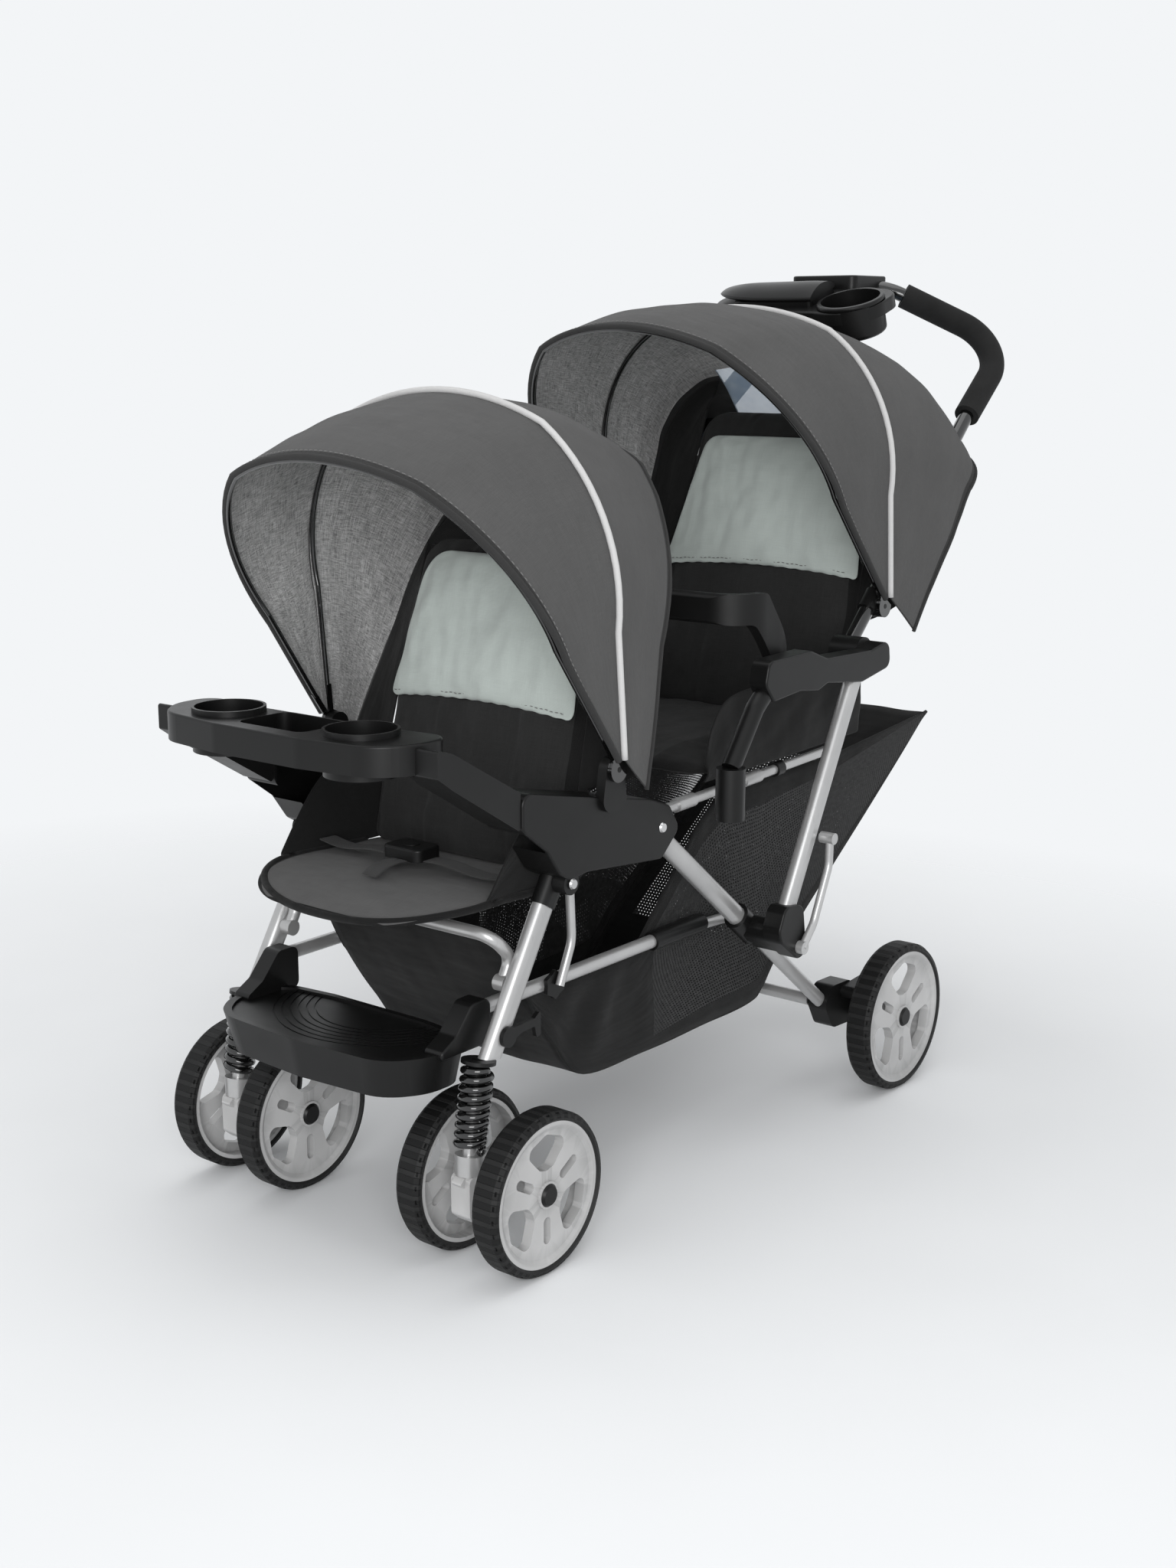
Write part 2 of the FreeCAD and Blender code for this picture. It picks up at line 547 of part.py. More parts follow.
def fork_shape():
    """The pale fork: a short stem under the collar, an arm back to the axle, and its pin."""
    top_z = s.spring_foot_z - s.collar_height - s.running_gap
    stem_low = Vector(s.stem_x, s.stem_y, top_z - s.fork_drop)
    stem_top = Vector(s.stem_x, s.stem_y, top_z)
    low_x, high_x = s.stem_x - s.fork_width / 2, s.stem_x + s.fork_width / 2
    stem = rod(stem_low, stem_top, s.fork_stem_radius)
    stem = stem.fuse(rod(stem_top, stem_top + UP * s.swivel_pin_height, s.swivel_pin_radius))
    boss = cross_rod(FRONT_AXLE.y, FRONT_AXLE.z, low_x, high_x, s.fork_boss_radius)
    front = s.stem_y - s.fork_stem_radius
    outline = [(front, top_z), (s.stem_y + s.fork_stem_radius, top_z),
               (FRONT_AXLE.y + s.fork_boss_radius, FRONT_AXLE.z),
               (FRONT_AXLE.y, FRONT_AXLE.z - s.fork_boss_radius),
               (s.stem_y, FRONT_AXLE.z - 1.6 * s.fork_boss_radius),
               (front, FRONT_AXLE.z - s.fork_boss_radius)]
    arm = side_plate(outline, low_x, high_x, s.fork_stem_radius / 2)
    tab = side_plate([(front - s.fork_stem_radius / 2, top_z - s.fork_drop / 4),
                      (front, top_z), (front + s.fork_stem_radius, top_z - s.fork_drop / 2),
                      (front, top_z - s.fork_drop / 2)], s.stem_x - s.fork_width / 4,
                     s.stem_x + s.fork_width / 4, s.latch_wire)
    hub = cross_rod(FRONT_AXLE.y, FRONT_AXLE.z, FRONT_AXLE.x - hub_reach(), FRONT_AXLE.x + hub_reach(),
                    s.cap_radius)
    whole = stem.fuse([boss, arm, tab, hub]).removeSplitter()
    bore = cross_rod(FRONT_AXLE.y, FRONT_AXLE.z, FRONT_AXLE.x - s.caster_half_track,
                     FRONT_AXLE.x + s.caster_half_track, s.axle_radius)
    return whole.cut(bore)


def hub_reach():
    """How far the fork's hub tube reaches on each side before it meets a rim."""
    return s.caster_half_track - s.wheel_width / 2 + s.rim_lip - s.running_gap


def biarc(start, start_way, end, end_way):
    """Two tangent arcs from one point and direction to another."""
    chord = end - start
    ways = start_way + end_way
    turn = 2 * (1 - start_way.dot(end_way))
    root = math.sqrt(chord.dot(ways) ** 2 + turn * chord.dot(chord))
    reach = (root - chord.dot(ways)) / turn
    joint = (start + start_way * reach + end - end_way * reach) / 2
    arcs = []
    for first, way, last in ((start, start_way, joint), (end, end_way * -1, joint)):
        step = last - first
        along = Vector(step).normalize()
        lift = way - along * way.dot(along)
        height = step.Length / 2 * math.tan(way.getAngle(step) / 2)
        arcs.append(Part.Arc(first, first + step / 2 + lift.normalize() * height, last).toShape())
    return arcs


def spring_shape():
    """One unbroken coil about the plunger, on biarcs of a quarter turn."""
    low = s.spring_wire_radius + s.running_gap
    high = (SPRING_HEAD - SPRING_FOOT).Length - s.cup_flange_height - low
    pitch = (high - low) / s.spring_turns
    quarters = int(4 * s.spring_turns)
    radius = s.spring_mean_radius
    rise = pitch / (2 * math.pi)

    def place(quarter):
        turn = math.pi / 2 * quarter
        point = Vector(radius * math.cos(turn), radius * math.sin(turn), low + pitch * quarter / 4)
        way = Vector(-radius * math.sin(turn), radius * math.cos(turn), rise).normalize()
        return point, way

    edges = []
    for quarter in range(quarters):
        edges += biarc(*place(quarter), *place(quarter + 1))
    coil = sweep(Part.Wire(edges), s.spring_wire_radius)
    print("spring: least gap between turns", round(pitch - 2 * s.spring_wire_radius, 3), "mm")
    coil.Placement = Placement(SPRING_FOOT, Rotation(UP, SPRING_WAY))
    return coil


def make_springs():
    coil = spring_shape()
    for word, side in SIDES.items():
        keep_shape(f"spring_{word}", on_side(coil, side))


# Front legs, their cups and sleeves


def front_leg_shape():
    """The oval front leg, cut square on top of the cup that holds the spring."""
    tube = oval_tube(s.leg_thickness, s.leg_depth, LEG_FOOT - (LEG_HEAD - LEG_FOOT) * 0.1, LEG_HEAD,
                     s.tube_wall)
    below = Part.makeCylinder(s.cup_flange_radius * 4, s.cup_flange_radius * 4, SPRING_HEAD,
                              SPRING_WAY * -1)
    bolt_y, bolt_z = leg_bolt()
    bore = cross_rod(bolt_y, bolt_z, s.armrest_inner_x, s.armrest_outer_x, s.pivot_pin_radius)
    return tube.cut([below, bore])


def cup_shape():
    """The cup under the leg: a flange above the spring and a barrel that the plunger slides in."""
    low = SPRING_HEAD - SPRING_WAY * s.cup_height
    body = rod(low, SPRING_HEAD, s.cup_radius)
    flange_low = SPRING_HEAD - SPRING_WAY * s.cup_flange_height
    body = body.fuse(rod(flange_low, SPRING_HEAD, s.cup_flange_radius))
    return body.cut(rod(low, SPRING_HEAD, s.plunger_radius + s.sliding_clearance))


def make_front_legs():
    keep_shape("front_legs", *pair(front_leg_shape()))


# Armrests beside the front seat


def armrest_outline(inset=0):
    """Side view of the armrest, as shares of its reach and rise from the fold pivot."""
    shares = [(-1, 1), (-0.08, 0.43), (0.06, 0.28), (0.14, -0.08), (0, -0.44), (-0.55, -0.28),
              (-0.68, -0.32), (-0.75, -0.20), (-0.84, 0.16), (-1, 0.50)]
    middle_share = (-0.5, 0.15)
    points = []
    for along, up in shares:
        pull_y = inset * (1 if along < middle_share[0] else -1)
        pull_z = inset * (1 if up < middle_share[1] else -1)
        points.append((s.pivot_y + along * s.armrest_reach + pull_y,
                       s.pivot_z + up * s.armrest_rise + pull_z))
    return points


def armrest_shape():
    """A moulded cover: an outer wall with a rim, open on the side of the seat."""
    inner, outer = s.armrest_inner_x, s.armrest_outer_x
    solid = side_plate(armrest_outline(), inner, outer, s.armrest_corner, s.edge_round)
    hollow = side_plate(armrest_outline(s.armrest_wall), inner - s.cut_overrun,
                        outer - s.armrest_wall, s.armrest_corner - s.armrest_wall)
    shell = solid.cut(hollow)
    slot_front = s.pivot_y - 0.6 * s.armrest_eye_radius
    sweep_room = Part.makeBox(outer - s.armrest_wall - inner + s.cut_overrun, s.armrest_reach,
                              s.armrest_rise, Vector(inner - s.cut_overrun, slot_front,
                                                     s.pivot_z + s.rear_leg_depth / 2
                                                     + s.cut_overrun - s.armrest_rise))
    leg_room = obround(s.leg_thickness + 2 * s.leg_sleeve_wall + 2 * s.running_gap,
                       s.leg_depth + 2 * s.leg_sleeve_wall + 2 * s.running_gap, LEG_FOOT, LEG_HEAD)
    shell = shell.cut(sweep_room).cut(leg_room)
    boss_low = s.front_leg_x + s.leg_thickness / 2 + s.leg_sleeve_wall
    front_boss = cross_rod(*leg_bolt(), boss_low, outer - s.armrest_wall / 2, s.cap_radius)
    rear_boss = cross_rod(*FOLD_PIVOT, s.rear_leg_x + s.rear_leg_thickness / 2 + s.running_gap,
                          outer - s.armrest_wall / 2, s.cap_radius)
    shell = shell.fuse([front_boss, rear_boss, canopy_bracket()])
    head_room = cross_rod(*leg_bolt(), inner, s.front_leg_x, s.bolt_head_radius)
    shell = shell.cut(head_room)
    for place in (leg_bolt(), FOLD_PIVOT):
        shell = shell.cut(cross_rod(*place, inner, outer + s.cut_overrun, s.pivot_pin_radius))
    return shell


def canopy_bracket():
    """The ear on top of the armrest that carries the front canopy's hinge pin."""
    y, z, ear = s.front_hood_hinge_y, s.front_hood_hinge_z, s.hinge_disc_radius
    foot = s.pivot_z + s.armrest_rise * 0.45
    outline = [(y - 1.6 * ear, foot), (y - ear * 0.9, z + ear * 0.9), (y + ear * 0.9, z + ear * 0.9),
               (y + 1.6 * ear, foot)]
    low = s.armrest_outer_x - s.armrest_wall - s.edge_round
    plate = side_plate(outline, low, hood_pin_low(), ear)
    return plate.fuse(cross_rod(y, z, low, hood_pin_high(), s.hood_pin_radius))


def hood_pin_low():
    """Where the first hinge disc of a canopy begins on its pin."""
    return s.hood_half_width - s.hood_cloth - s.hood_fold_gap - 2 * disc_pitch() - s.running_gap


def hood_pin_high():
    return s.hood_half_width - s.hood_cloth - s.hood_fold_gap


def disc_pitch():
    """The step along the pin from one hinge disc to the next."""
    return s.hinge_disc_thickness / 2 + s.running_gap


def leg_bolt():
    """Where the armrest is bolted through the head of the front leg."""
    place = LEG_FOOT + (LEG_HEAD - LEG_FOOT) * 0.93
    return place.y, place.z


def make_armrests():
    keep_shape("front_armrests", *pair(armrest_shape()))


# Fasteners of the fixed frame


def make_frame_bolts():
    """Bolts and rivets: at the leg heads, the fold pivots and the star clamps."""
    outer = s.armrest_outer_x
    low = s.front_leg_x - s.leg_thickness / 2 - s.leg_sleeve_wall
    solids = []
    solids += pair(bolt(*leg_bolt(), low, outer, s.pivot_pin_radius))
    solids += pair(bolt(*FOLD_PIVOT, s.armrest_inner_x, outer, s.pivot_pin_radius))
    keep_shape("frame_bolts", *solids)


# Rails


def rail_front():
    return Vector(s.seat_rail_x, s.seat_rail_front_y, s.seat_rail_front_z)


def rail_rear():
    return Vector(s.seat_rail_x, s.seat_rail_rear_y, s.seat_rail_rear_z)


def rail_point(y):
    """The point of the seat rail's centre line at a given y."""
    front, rear = rail_front(), rail_rear()
    share = (y - front.y) / (rear.y - front.y)
    return front + (rear - front) * share


def make_seat_rails():
    """The round rails under the rear seat, with two stiffening sleeves on each."""
    tube = hollow_rod(rail_front(), rail_rear(), s.seat_rail_radius, s.seat_rail_radius - s.tube_wall)
    eye = cross_rod(*FOLD_PIVOT, s.seat_rail_x - s.seat_rail_radius, s.seat_rail_x + s.seat_rail_radius,
                    s.sleeve_radius)
    bore = cross_rod(*FOLD_PIVOT, s.armrest_inner_x, s.rear_leg_x, s.pivot_pin_radius)
    tube = tube.fuse(eye).cut(bore)
    sleeves = []
    for share in SLEEVE_SHARES:
        middle = rail_front() + (rail_rear() - rail_front()) * share
        half_way = (rail_rear() - rail_front()).normalize() * (s.sleeve_length / 2)
        sleeves.append(hollow_rod(middle - half_way, middle + half_way, s.sleeve_radius,
                                  s.seat_rail_radius))
    keep_shape("seat_rails", *pair(tube.fuse(sleeves)))



def side_rail_tubes():
    """The lower rail beside the basket: a thick front tube and a thin tube that plugs into it."""
    x = s.side_rail_x
    front = Vector(x, s.side_rail_front_y, s.side_rail_z)
    joint = Vector(x, s.side_rail_joint_y, s.side_rail_z)
    rear = Vector(x, s.side_rail_rear_y, s.side_rail_rear_z)
    thick = hollow_rod(front, joint, s.side_rail_radius, s.side_rail_thin_radius + s.running_gap)
    plug = joint - (rear - joint).normalize() * s.sleeve_length
    thin = hollow_rod(plug, rear, s.side_rail_thin_radius, s.side_rail_thin_radius - s.tube_wall)
    return thick.fuse(thin)


def support_link():
    """The bent link from the armrest's underside down to the side rail."""
    x = s.side_rail_x + s.side_rail_radius + s.star_clamp_thickness + s.link_width / 2 + s.running_gap
    points = [Vector(x, s.support_head_y, s.support_head_z),
              Vector(x, s.support_knee_y, s.support_knee_z),
              Vector(x, s.star_clamp_y, s.side_rail_z)]
    return sweep(bent_path(points, 4 * s.link_width), s.link_width / 2)


def front_cross_tube():
    """The bent tube under the front seat, its flattened ends bolted to the legs' inner faces."""
    x = s.front_leg_x - s.leg_thickness / 2 - s.front_tube_radius - s.running_gap
    foot = Vector(x, s.cross_foot_y, s.cross_foot_z)
    knee = Vector(x, s.cross_knee_y, s.cross_knee_z)
    corner = Vector(x, s.cross_tube_y, s.cross_tube_z)
    half = [foot, knee, corner]
    path = half + [Vector(-p.x, p.y, p.z) for p in reversed(half)]
    leg_face = s.front_leg_x - s.leg_thickness / 2
    pad = cross_rod(foot.y, foot.z, x - s.front_tube_radius, leg_face, 1.3 * s.front_tube_radius)
    way = bent_path(path, s.cross_bend)
    bar = sweep(way, s.front_tube_radius).fuse(pair(pad))
    return bar.cut(sweep(way, s.front_tube_radius - s.tube_wall))


def make_lower_rails():
    keep_shape("side_rails", *pair(side_rail_tubes()), *pair(support_link()), front_cross_tube())


def star_clamp():
    """The lobed disc that bolts the support link to the side rail."""
    low = s.side_rail_x + s.side_rail_radius
    lobes = int(s.star_lobes)
    points = []
    for place in range(lobes):
        reach = s.star_clamp_radius * (1 if place % 2 else 0.8)
        way = 2 * math.pi * place / lobes
        points.append((s.star_clamp_y + reach * math.cos(way), s.side_rail_z + reach * math.sin(way)))
    return side_plate(points, low, low + s.star_clamp_thickness, s.side_rail_radius / 4)


def rail_sleeve():
    """The black sleeve over the joint of the side rail's two tubes."""
    half = s.rail_sleeve_length / 2
    x, y = s.side_rail_x, s.side_rail_joint_y
    low, high = Vector(x, y - half, s.side_rail_z), Vector(x, y + half, s.side_rail_z)
    return rod(low, high, s.rail_sleeve_radius).cut(side_rail_tubes())


def leg_sleeve():
    """The black sleeve round the head of the front leg, just under the armrest."""
    way = (LEG_HEAD - LEG_FOOT).normalize()
    bolt_y, bolt_z = leg_bolt()
    middle = Vector(s.front_leg_x, bolt_y, bolt_z)
    low, high = middle - way * 1.5 * s.leg_sleeve_length, middle + way * s.leg_sleeve_length / 2
    wall = 2 * s.leg_sleeve_wall
    gap = 2 * s.sliding_clearance
    outer = obround(s.leg_thickness + wall, s.leg_depth + wall, low, high)
    outer = outer.cut(obround(s.leg_thickness + gap, s.leg_depth + gap, low - way, high + way))
    return outer.cut(cross_rod(bolt_y, bolt_z, 0, s.armrest_outer_x, s.pivot_pin_radius))


def rail_clip():
    """The black clip that holds the seat cloth on the seat rail."""
    middle = rail_point(s.post_foot_y + s.shoe_inner_x / 2.4)
    way = (rail_rear() - rail_front()).normalize() * (s.clip_radius * 0.8)
    return hollow_rod(middle - way, middle + way, s.clip_radius, s.seat_rail_radius)


def make_frame_sleeves():
    keep_shape("frame_sleeves", *pair(cup_shape()), *pair(star_clamp()), *pair(rail_sleeve()),
               *pair(leg_sleeve()), *pair(rail_clip()))


# Rear legs with their clamps, hubs and brakes

LEG_WAY = (REAR_FOOT - REAR_PIVOT).normalize()


def clamp_point():
    """The middle of the clamp on the rear leg's centre line."""
    share = (s.clamp_y - REAR_PIVOT.y) / (REAR_FOOT.y - REAR_PIVOT.y)
    return REAR_PIVOT + (REAR_FOOT - REAR_PIVOT) * share


def leg_bars(grow):
    """The solid outer forms of the rear leg's two tubes, grown by a clearance."""
    eye = REAR_PIVOT - LEG_WAY * (s.rear_leg_depth / 2 + grow)
    upper = obround(s.rear_leg_thickness + 2 * grow, s.rear_leg_depth + 2 * grow, eye,
                    clamp_point() + LEG_WAY * grow)
    lower = rod(clamp_point() - LEG_WAY * s.clamp_length, REAR_FOOT, s.rear_leg_thin_radius + grow)
    return upper, lower


def rear_leg_shape():
    """An oval upper tube from the fold pivot to the clamp, and a round tube on to the hub."""
    eye = REAR_PIVOT - LEG_WAY * (s.rear_leg_depth / 2)
    upper = oval_tube(s.rear_leg_thickness, s.rear_leg_depth, eye, clamp_point(), s.tube_wall)
    start = clamp_point() - LEG_WAY * s.clamp_length
    lower = hollow_rod(start, REAR_FOOT, s.rear_leg_thin_radius,
                       s.rear_leg_thin_radius - s.tube_wall)
    spacer = cross_rod(*FOLD_PIVOT, s.rear_leg_x - s.rear_leg_thickness / 2,
                       s.rear_leg_x + s.rear_leg_thickness / 2, 2 * s.pivot_pin_radius)
    leg = upper.fuse([lower, spacer])
    bore = s.pivot_pin_radius + s.sliding_clearance
    return leg.cut(cross_rod(*FOLD_PIVOT, s.armrest_inner_x, s.armrest_outer_x, bore))


def rear_cross_tube():
    """The cross tube low between the rear legs."""
    reach = s.rear_leg_x - s.rear_leg_thin_radius - s.clamp_wall
    low, high = Vector(-reach, s.rear_cross_y, s.rear_cross_z), Vector(reach, s.rear_cross_y, s.rear_cross_z)
    return hollow_rod(low, high, s.cross_tube_radius, s.cross_tube_radius - s.tube_wall)


def make_rear_legs():
    keep_shape("rear_legs", *pair(rear_leg_shape()), rear_cross_tube())


def clamp_shape():
    """A ring round the rear leg with a cheek that carries the handle frame's hinge pin."""
    middle = clamp_point()
    half = LEG_WAY * (s.clamp_length / 2)
    wall = 2 * s.clamp_wall
    ring = obround(s.rear_leg_thickness + wall, s.rear_leg_depth + wall, middle - half, middle + half)
    cheek_face = s.shoe_inner_x - s.running_gap
    centre = Vector(0, s.hinge_y, s.hinge_z)
    reach = s.hinge_boss_radius * 1.3
    outline = [(middle.y - reach, middle.z - reach / 3), (middle.y, middle.z + reach),
               (centre.y + reach / 2, centre.z + reach), (centre.y + reach, centre.z),
               (centre.y + reach / 2, centre.z - reach), (middle.y, middle.z - reach * 1.2)]
    cheek = side_plate(outline, s.rear_leg_x, cheek_face, s.hinge_boss_radius)
    pin = cross_rod(s.hinge_y, s.hinge_z, cheek_face, s.shoe_outer_x, s.hinge_pin_radius)
    return ring.fuse([cheek, pin]).cut(leg_bars(s.sliding_clearance))


def hub_shape():
    """The moulded housing at the foot of the rear leg that carries the wheel's stub axle."""
    low = s.rear_leg_x - s.rear_leg_thin_radius - s.clamp_wall
    high = s.rear_leg_x + s.rear_leg_thin_radius + s.clamp_wall
    tall = s.rear_housing_radius
    outline = [(REAR_FOOT.y - 1.8 * tall, REAR_FOOT.z + 0.9 * tall),
               (REAR_FOOT.y - 0.6 * tall, REAR_FOOT.z + 2.2 * tall),
               (REAR_FOOT.y + 1.9 * tall, REAR_FOOT.z + 2.1 * tall),
               (REAR_AXLE.y + tall, REAR_AXLE.z + tall * 0.7),
               (REAR_AXLE.y + tall, REAR_AXLE.z - tall * 0.7), (REAR_AXLE.y, REAR_AXLE.z - tall),
               (REAR_FOOT.y - tall / 2, REAR_FOOT.z - 1.4 * tall)]
    body = side_plate(outline, low, high, tall * 0.9)
    wheel_face = REAR_AXLE.x - s.wheel_width / 2 + s.rim_lip - s.running_gap
    boss = cross_rod(REAR_AXLE.y, REAR_AXLE.z, high - s.cut_overrun, wheel_face, 0.85 * tall)
    brake_y, brake_z = brake_pivot()
    pin = cross_rod(brake_y, brake_z, high - s.cut_overrun, high + s.brake_width, s.pivot_pin_radius)
    whole = body.fuse([boss, pin])
    axle = cross_rod(REAR_AXLE.y, REAR_AXLE.z, low + s.clamp_wall, REAR_AXLE.x, s.axle_radius)
    return whole.cut(leg_bars(s.sliding_clearance)[1]).cut(axle)


def brake_pivot():
    """Where the brake pedal turns on the hub housing."""
    return REAR_FOOT.y + s.rear_housing_radius, REAR_FOOT.z + 1.4 * s.rear_housing_radius


def brake_shape():
    """A foot pedal that reaches back over the hub from its pivot."""
    y, z = brake_pivot()
    face = s.rear_leg_x + s.rear_leg_thin_radius + s.clamp_wall + s.running_gap
    wide = REAR_AXLE.x - s.wheel_width / 2 - s.running_gap * 4 - face
    barrel = 2 * s.pivot_pin_radius
    hub = cross_rod(y, z, face, face + wide, barrel)
    step = s.brake_thickness
    outline = [(y, z + barrel), (y, z + barrel - step), (y + s.brake_length - step, z + step / 2),
               (y + s.brake_length, z + step), (y + s.brake_length, z + 2 * step)]
    pedal = side_plate(outline, face, face + wide, step / 4)
    bore = cross_rod(y, z, face - s.cut_overrun, face + wide + s.cut_overrun,
                     s.pivot_pin_radius + s.sliding_clearance)
    return hub.fuse(pedal).cut(bore)


def make_rear_fittings():
    keep_shape("fold_clamps", *pair(clamp_shape()))
    keep_shape("rear_hubs", *pair(hub_shape()))
    for word, side in SIDES.items():
        keep_shape(f"brake_lever_{word}", on_side(brake_shape(), side))
    low = s.rear_leg_x - s.rear_leg_thin_radius
    high = REAR_AXLE.x + s.wheel_width / 2 - s.rim_lip + s.running_gap
    shaft = cross_rod(REAR_AXLE.y, REAR_AXLE.z, low, high, s.axle_radius)
    cap = Part.makeCone(s.cap_radius, s.cap_radius * 0.8, s.cap_height,
                        Vector(high, REAR_AXLE.y, REAR_AXLE.z), Vector(1, 0, 0))
    keep_shape("rear_axles", *pair(shaft.fuse(cap)))


# Handle frame: posts, shoes, lock links, armrests and struts beside the rear seat


def lock_link():
    """The thin bent link beside the foot of the post, from the hinge up to a rivet."""
    x = s.shoe_outer_x + s.running_gap + s.link_width / 2
    foot = Vector(x, s.hinge_y, s.hinge_z)
    head = Vector(x, s.link_head_y, s.link_head_z)
    span = head - foot
    bulge_shares = ((0.42, 0.2), (0.98, 0.72))
    bulge = [foot + Vector(0, span.y * y, span.z * z) for y, z in bulge_shares]
    bar = sweep(bent_path([foot] + bulge + [head], 3 * s.link_width), s.link_width / 2)
    eye = cross_rod(foot.y, foot.z, s.shoe_outer_x + s.running_gap, x + s.link_width * 0.4,
                    s.link_width * 0.8)
    wall_middle = s.post_x + (s.post_thickness - s.tube_wall) / 2
    rivet = cross_rod(head.y, head.z, wall_middle, x + s.link_width * 0.7,
                      s.link_width * 0.7)
    return bar.fuse([eye, rivet])


def make_handle_posts():
    """Oval posts that carry the rear armrests, with the lock links riveted to them."""
    post = oval_tube(s.post_thickness, s.post_depth, POST_FOOT, POST_HEAD, s.tube_wall)
    keep_shape("handle_posts", *pair(post.fuse(lock_link())))


def post_room(gap):
    """The post's outer form grown by a gap, for the pieces that it plugs into."""
    return obround(s.post_thickness + 2 * gap, s.post_depth + 2 * gap, POST_FOOT, POST_HEAD)


def make_post_shoes():
    """The moulded shoe round the foot of each post, turning on the clamp's hinge pin."""
    y, z, reach = s.hinge_y, s.hinge_z, s.hinge_boss_radius * 1.25
    foot = POST_FOOT
    outline = [(foot.y - reach * 1.3, foot.z + reach * 0.6), (foot.y - reach / 2, foot.z + reach * 2.3),
               (foot.y + reach * 1.9, foot.z + reach * 2), (y + reach, z + reach / 2),
               (y + reach, z - reach * 0.8), (y, z - reach), (foot.y - reach, foot.z - reach / 3)]
    body = side_plate(outline, s.shoe_inner_x, s.shoe_outer_x, s.shoe_corner, s.edge_round)
    bore = cross_rod(y, z, s.shoe_inner_x - s.cut_overrun, s.shoe_outer_x + s.cut_overrun,
                     s.hinge_pin_radius + s.sliding_clearance)
    room = post_room(s.sliding_clearance)
    keep_shape("post_shoes", *pair(body.cut(bore).cut(room)))


def rear_rest_outline():
    """Side view of the rear armrest, as shares of its length and height."""
    length = s.rear_rest_rear_y - s.rear_rest_front_y
    shares = [(-0.13, 0.75), (0.28, 0.8), (0.44, 0.4), (0.9, 0.3), (1.1, 0.55), (1.12, -0.5),
              (0.82, -0.85), (0.45, -0.55), (0.36, -0.75), (0.18, -0.6), (-0.08, -0.75), (-0.16, -0.1)]
    return [(s.rear_rest_front_y + a * length, s.rear_rest_z + b * s.rear_rest_height)
            for a, b in shares]


def handle_points():
    """The corners of the handle's centre line on the left side, from its foot to its top."""
    return [Vector(s.handle_low_x, s.handle_low_y, s.handle_low_z),
            Vector(s.handle_low_x, s.handle_bend_y, s.handle_bend_z),
            Vector(s.handle_high_x, s.handle_high_y, s.handle_high_z),
            Vector(s.handle_top_x, s.handle_top_y, s.handle_top_z)]


def make_rear_armrests():
    """The moulded armrests on the posts, with the bosses that hold the handle and grab bar."""
    inner, outer = s.rear_rest_inner_x, s.rear_rest_outer_x
    body = side_plate(rear_rest_outline(), inner, outer, s.armrest_corner, s.edge_round)
    boss = cross_rod(s.rear_rest_rear_y, s.rear_rest_z, s.handle_low_x - s.grip_radius, inner,
                     s.rear_lug_radius * 0.75)
    pin = cross_rod(s.grab_pivot_y, s.rear_rest_z, grab_eye_low(), inner, s.grab_pin_radius)
    body = body.fuse([boss, pin])
    body = body.cut(post_room(s.sliding_clearance))
    foot, bend = handle_points()[:2]
    clamp = canopy_clamp(foot, bend)
    keep_shape("rear_armrests", *pair(body.cut(rod(foot, bend, s.handle_radius))), *pair(clamp))


def canopy_clamp(foot, bend):
    """The clamp round the handle tube that carries the rear canopy's hinge pin."""
    y, z = s.rear_hood_hinge_y, s.rear_hood_hinge_z
    way = (bend - foot).normalize()
    middle = foot + way * (Vector(foot.x, y, z) - foot).dot(way)
    half = way * s.hinge_disc_radius
    wall = s.handle_radius + s.canopy_clamp_wall
    ring = rod(middle - half, middle + half, wall)
    ear = cross_rod(y, z, foot.x, hood_pin_low(), s.hinge_disc_radius)
    pin = cross_rod(y, z, foot.x, hood_pin_high(), s.hood_pin_radius)
    return ring.fuse([ear, pin]).cut(rod(middle - half * 2, middle + half * 2, s.handle_radius))


def grab_eye_low():
    """The inner end of the grab bar's pivot."""
    return s.rear_rest_inner_x - s.running_gap - s.grab_eye_width


def make_struts():
    """The jointed strut from the rear armrest down to a socket beside the seat rail."""
    x = s.rear_rest_inner_x + s.strut_radius - s.running_gap
    head = Vector(x, s.rear_rest_front_y - s.running_gap, s.rear_rest_z)
    knee = Vector(x, s.strut_knee_y, s.strut_knee_z)
    foot = Vector(x, s.strut_foot_y, s.strut_foot_z)
    bar = sweep(bent_path([head, knee, foot], s.strut_width), s.strut_radius)
    low = foot - Vector(s.running_gap, s.running_gap, s.socket_drop)
    socket = rod(low, foot, s.socket_radius)
    outline = side_plate(rear_rest_outline(), s.rear_rest_inner_x - s.strut_width,
                         s.rear_rest_outer_x + s.strut_width, s.armrest_corner)
    keep_shape("struts", *pair(bar.cut(outline).fuse(socket)))


# Handle and parent's console


def handle_path():
    half = handle_points()
    return bent_path(half + [Vector(-p.x, p.y, p.z) for p in reversed(half)], s.handle_bend_radius)


def make_handle():
    """The steel handle bar and the foam grips round its bends."""
    half = handle_points()
    tube = sweep(handle_path(), s.handle_radius)
    keep_shape("handle_bar", tube.cut(sweep(handle_path(), s.handle_radius - s.tube_wall)))
    top, high, bend = half[3], half[2], half[1]
    start = high + (top - high) * GRIP_SHARES[0]
    end = high + (bend - high) * GRIP_SHARES[1]
    grip_path = bent_path([start, high, end], s.handle_bend_radius)
    grip = sweep(grip_path, s.grip_radius).cut(sweep(grip_path, s.handle_radius + s.sliding_clearance))
    keep_shape("handle_grips", *pair(grip))


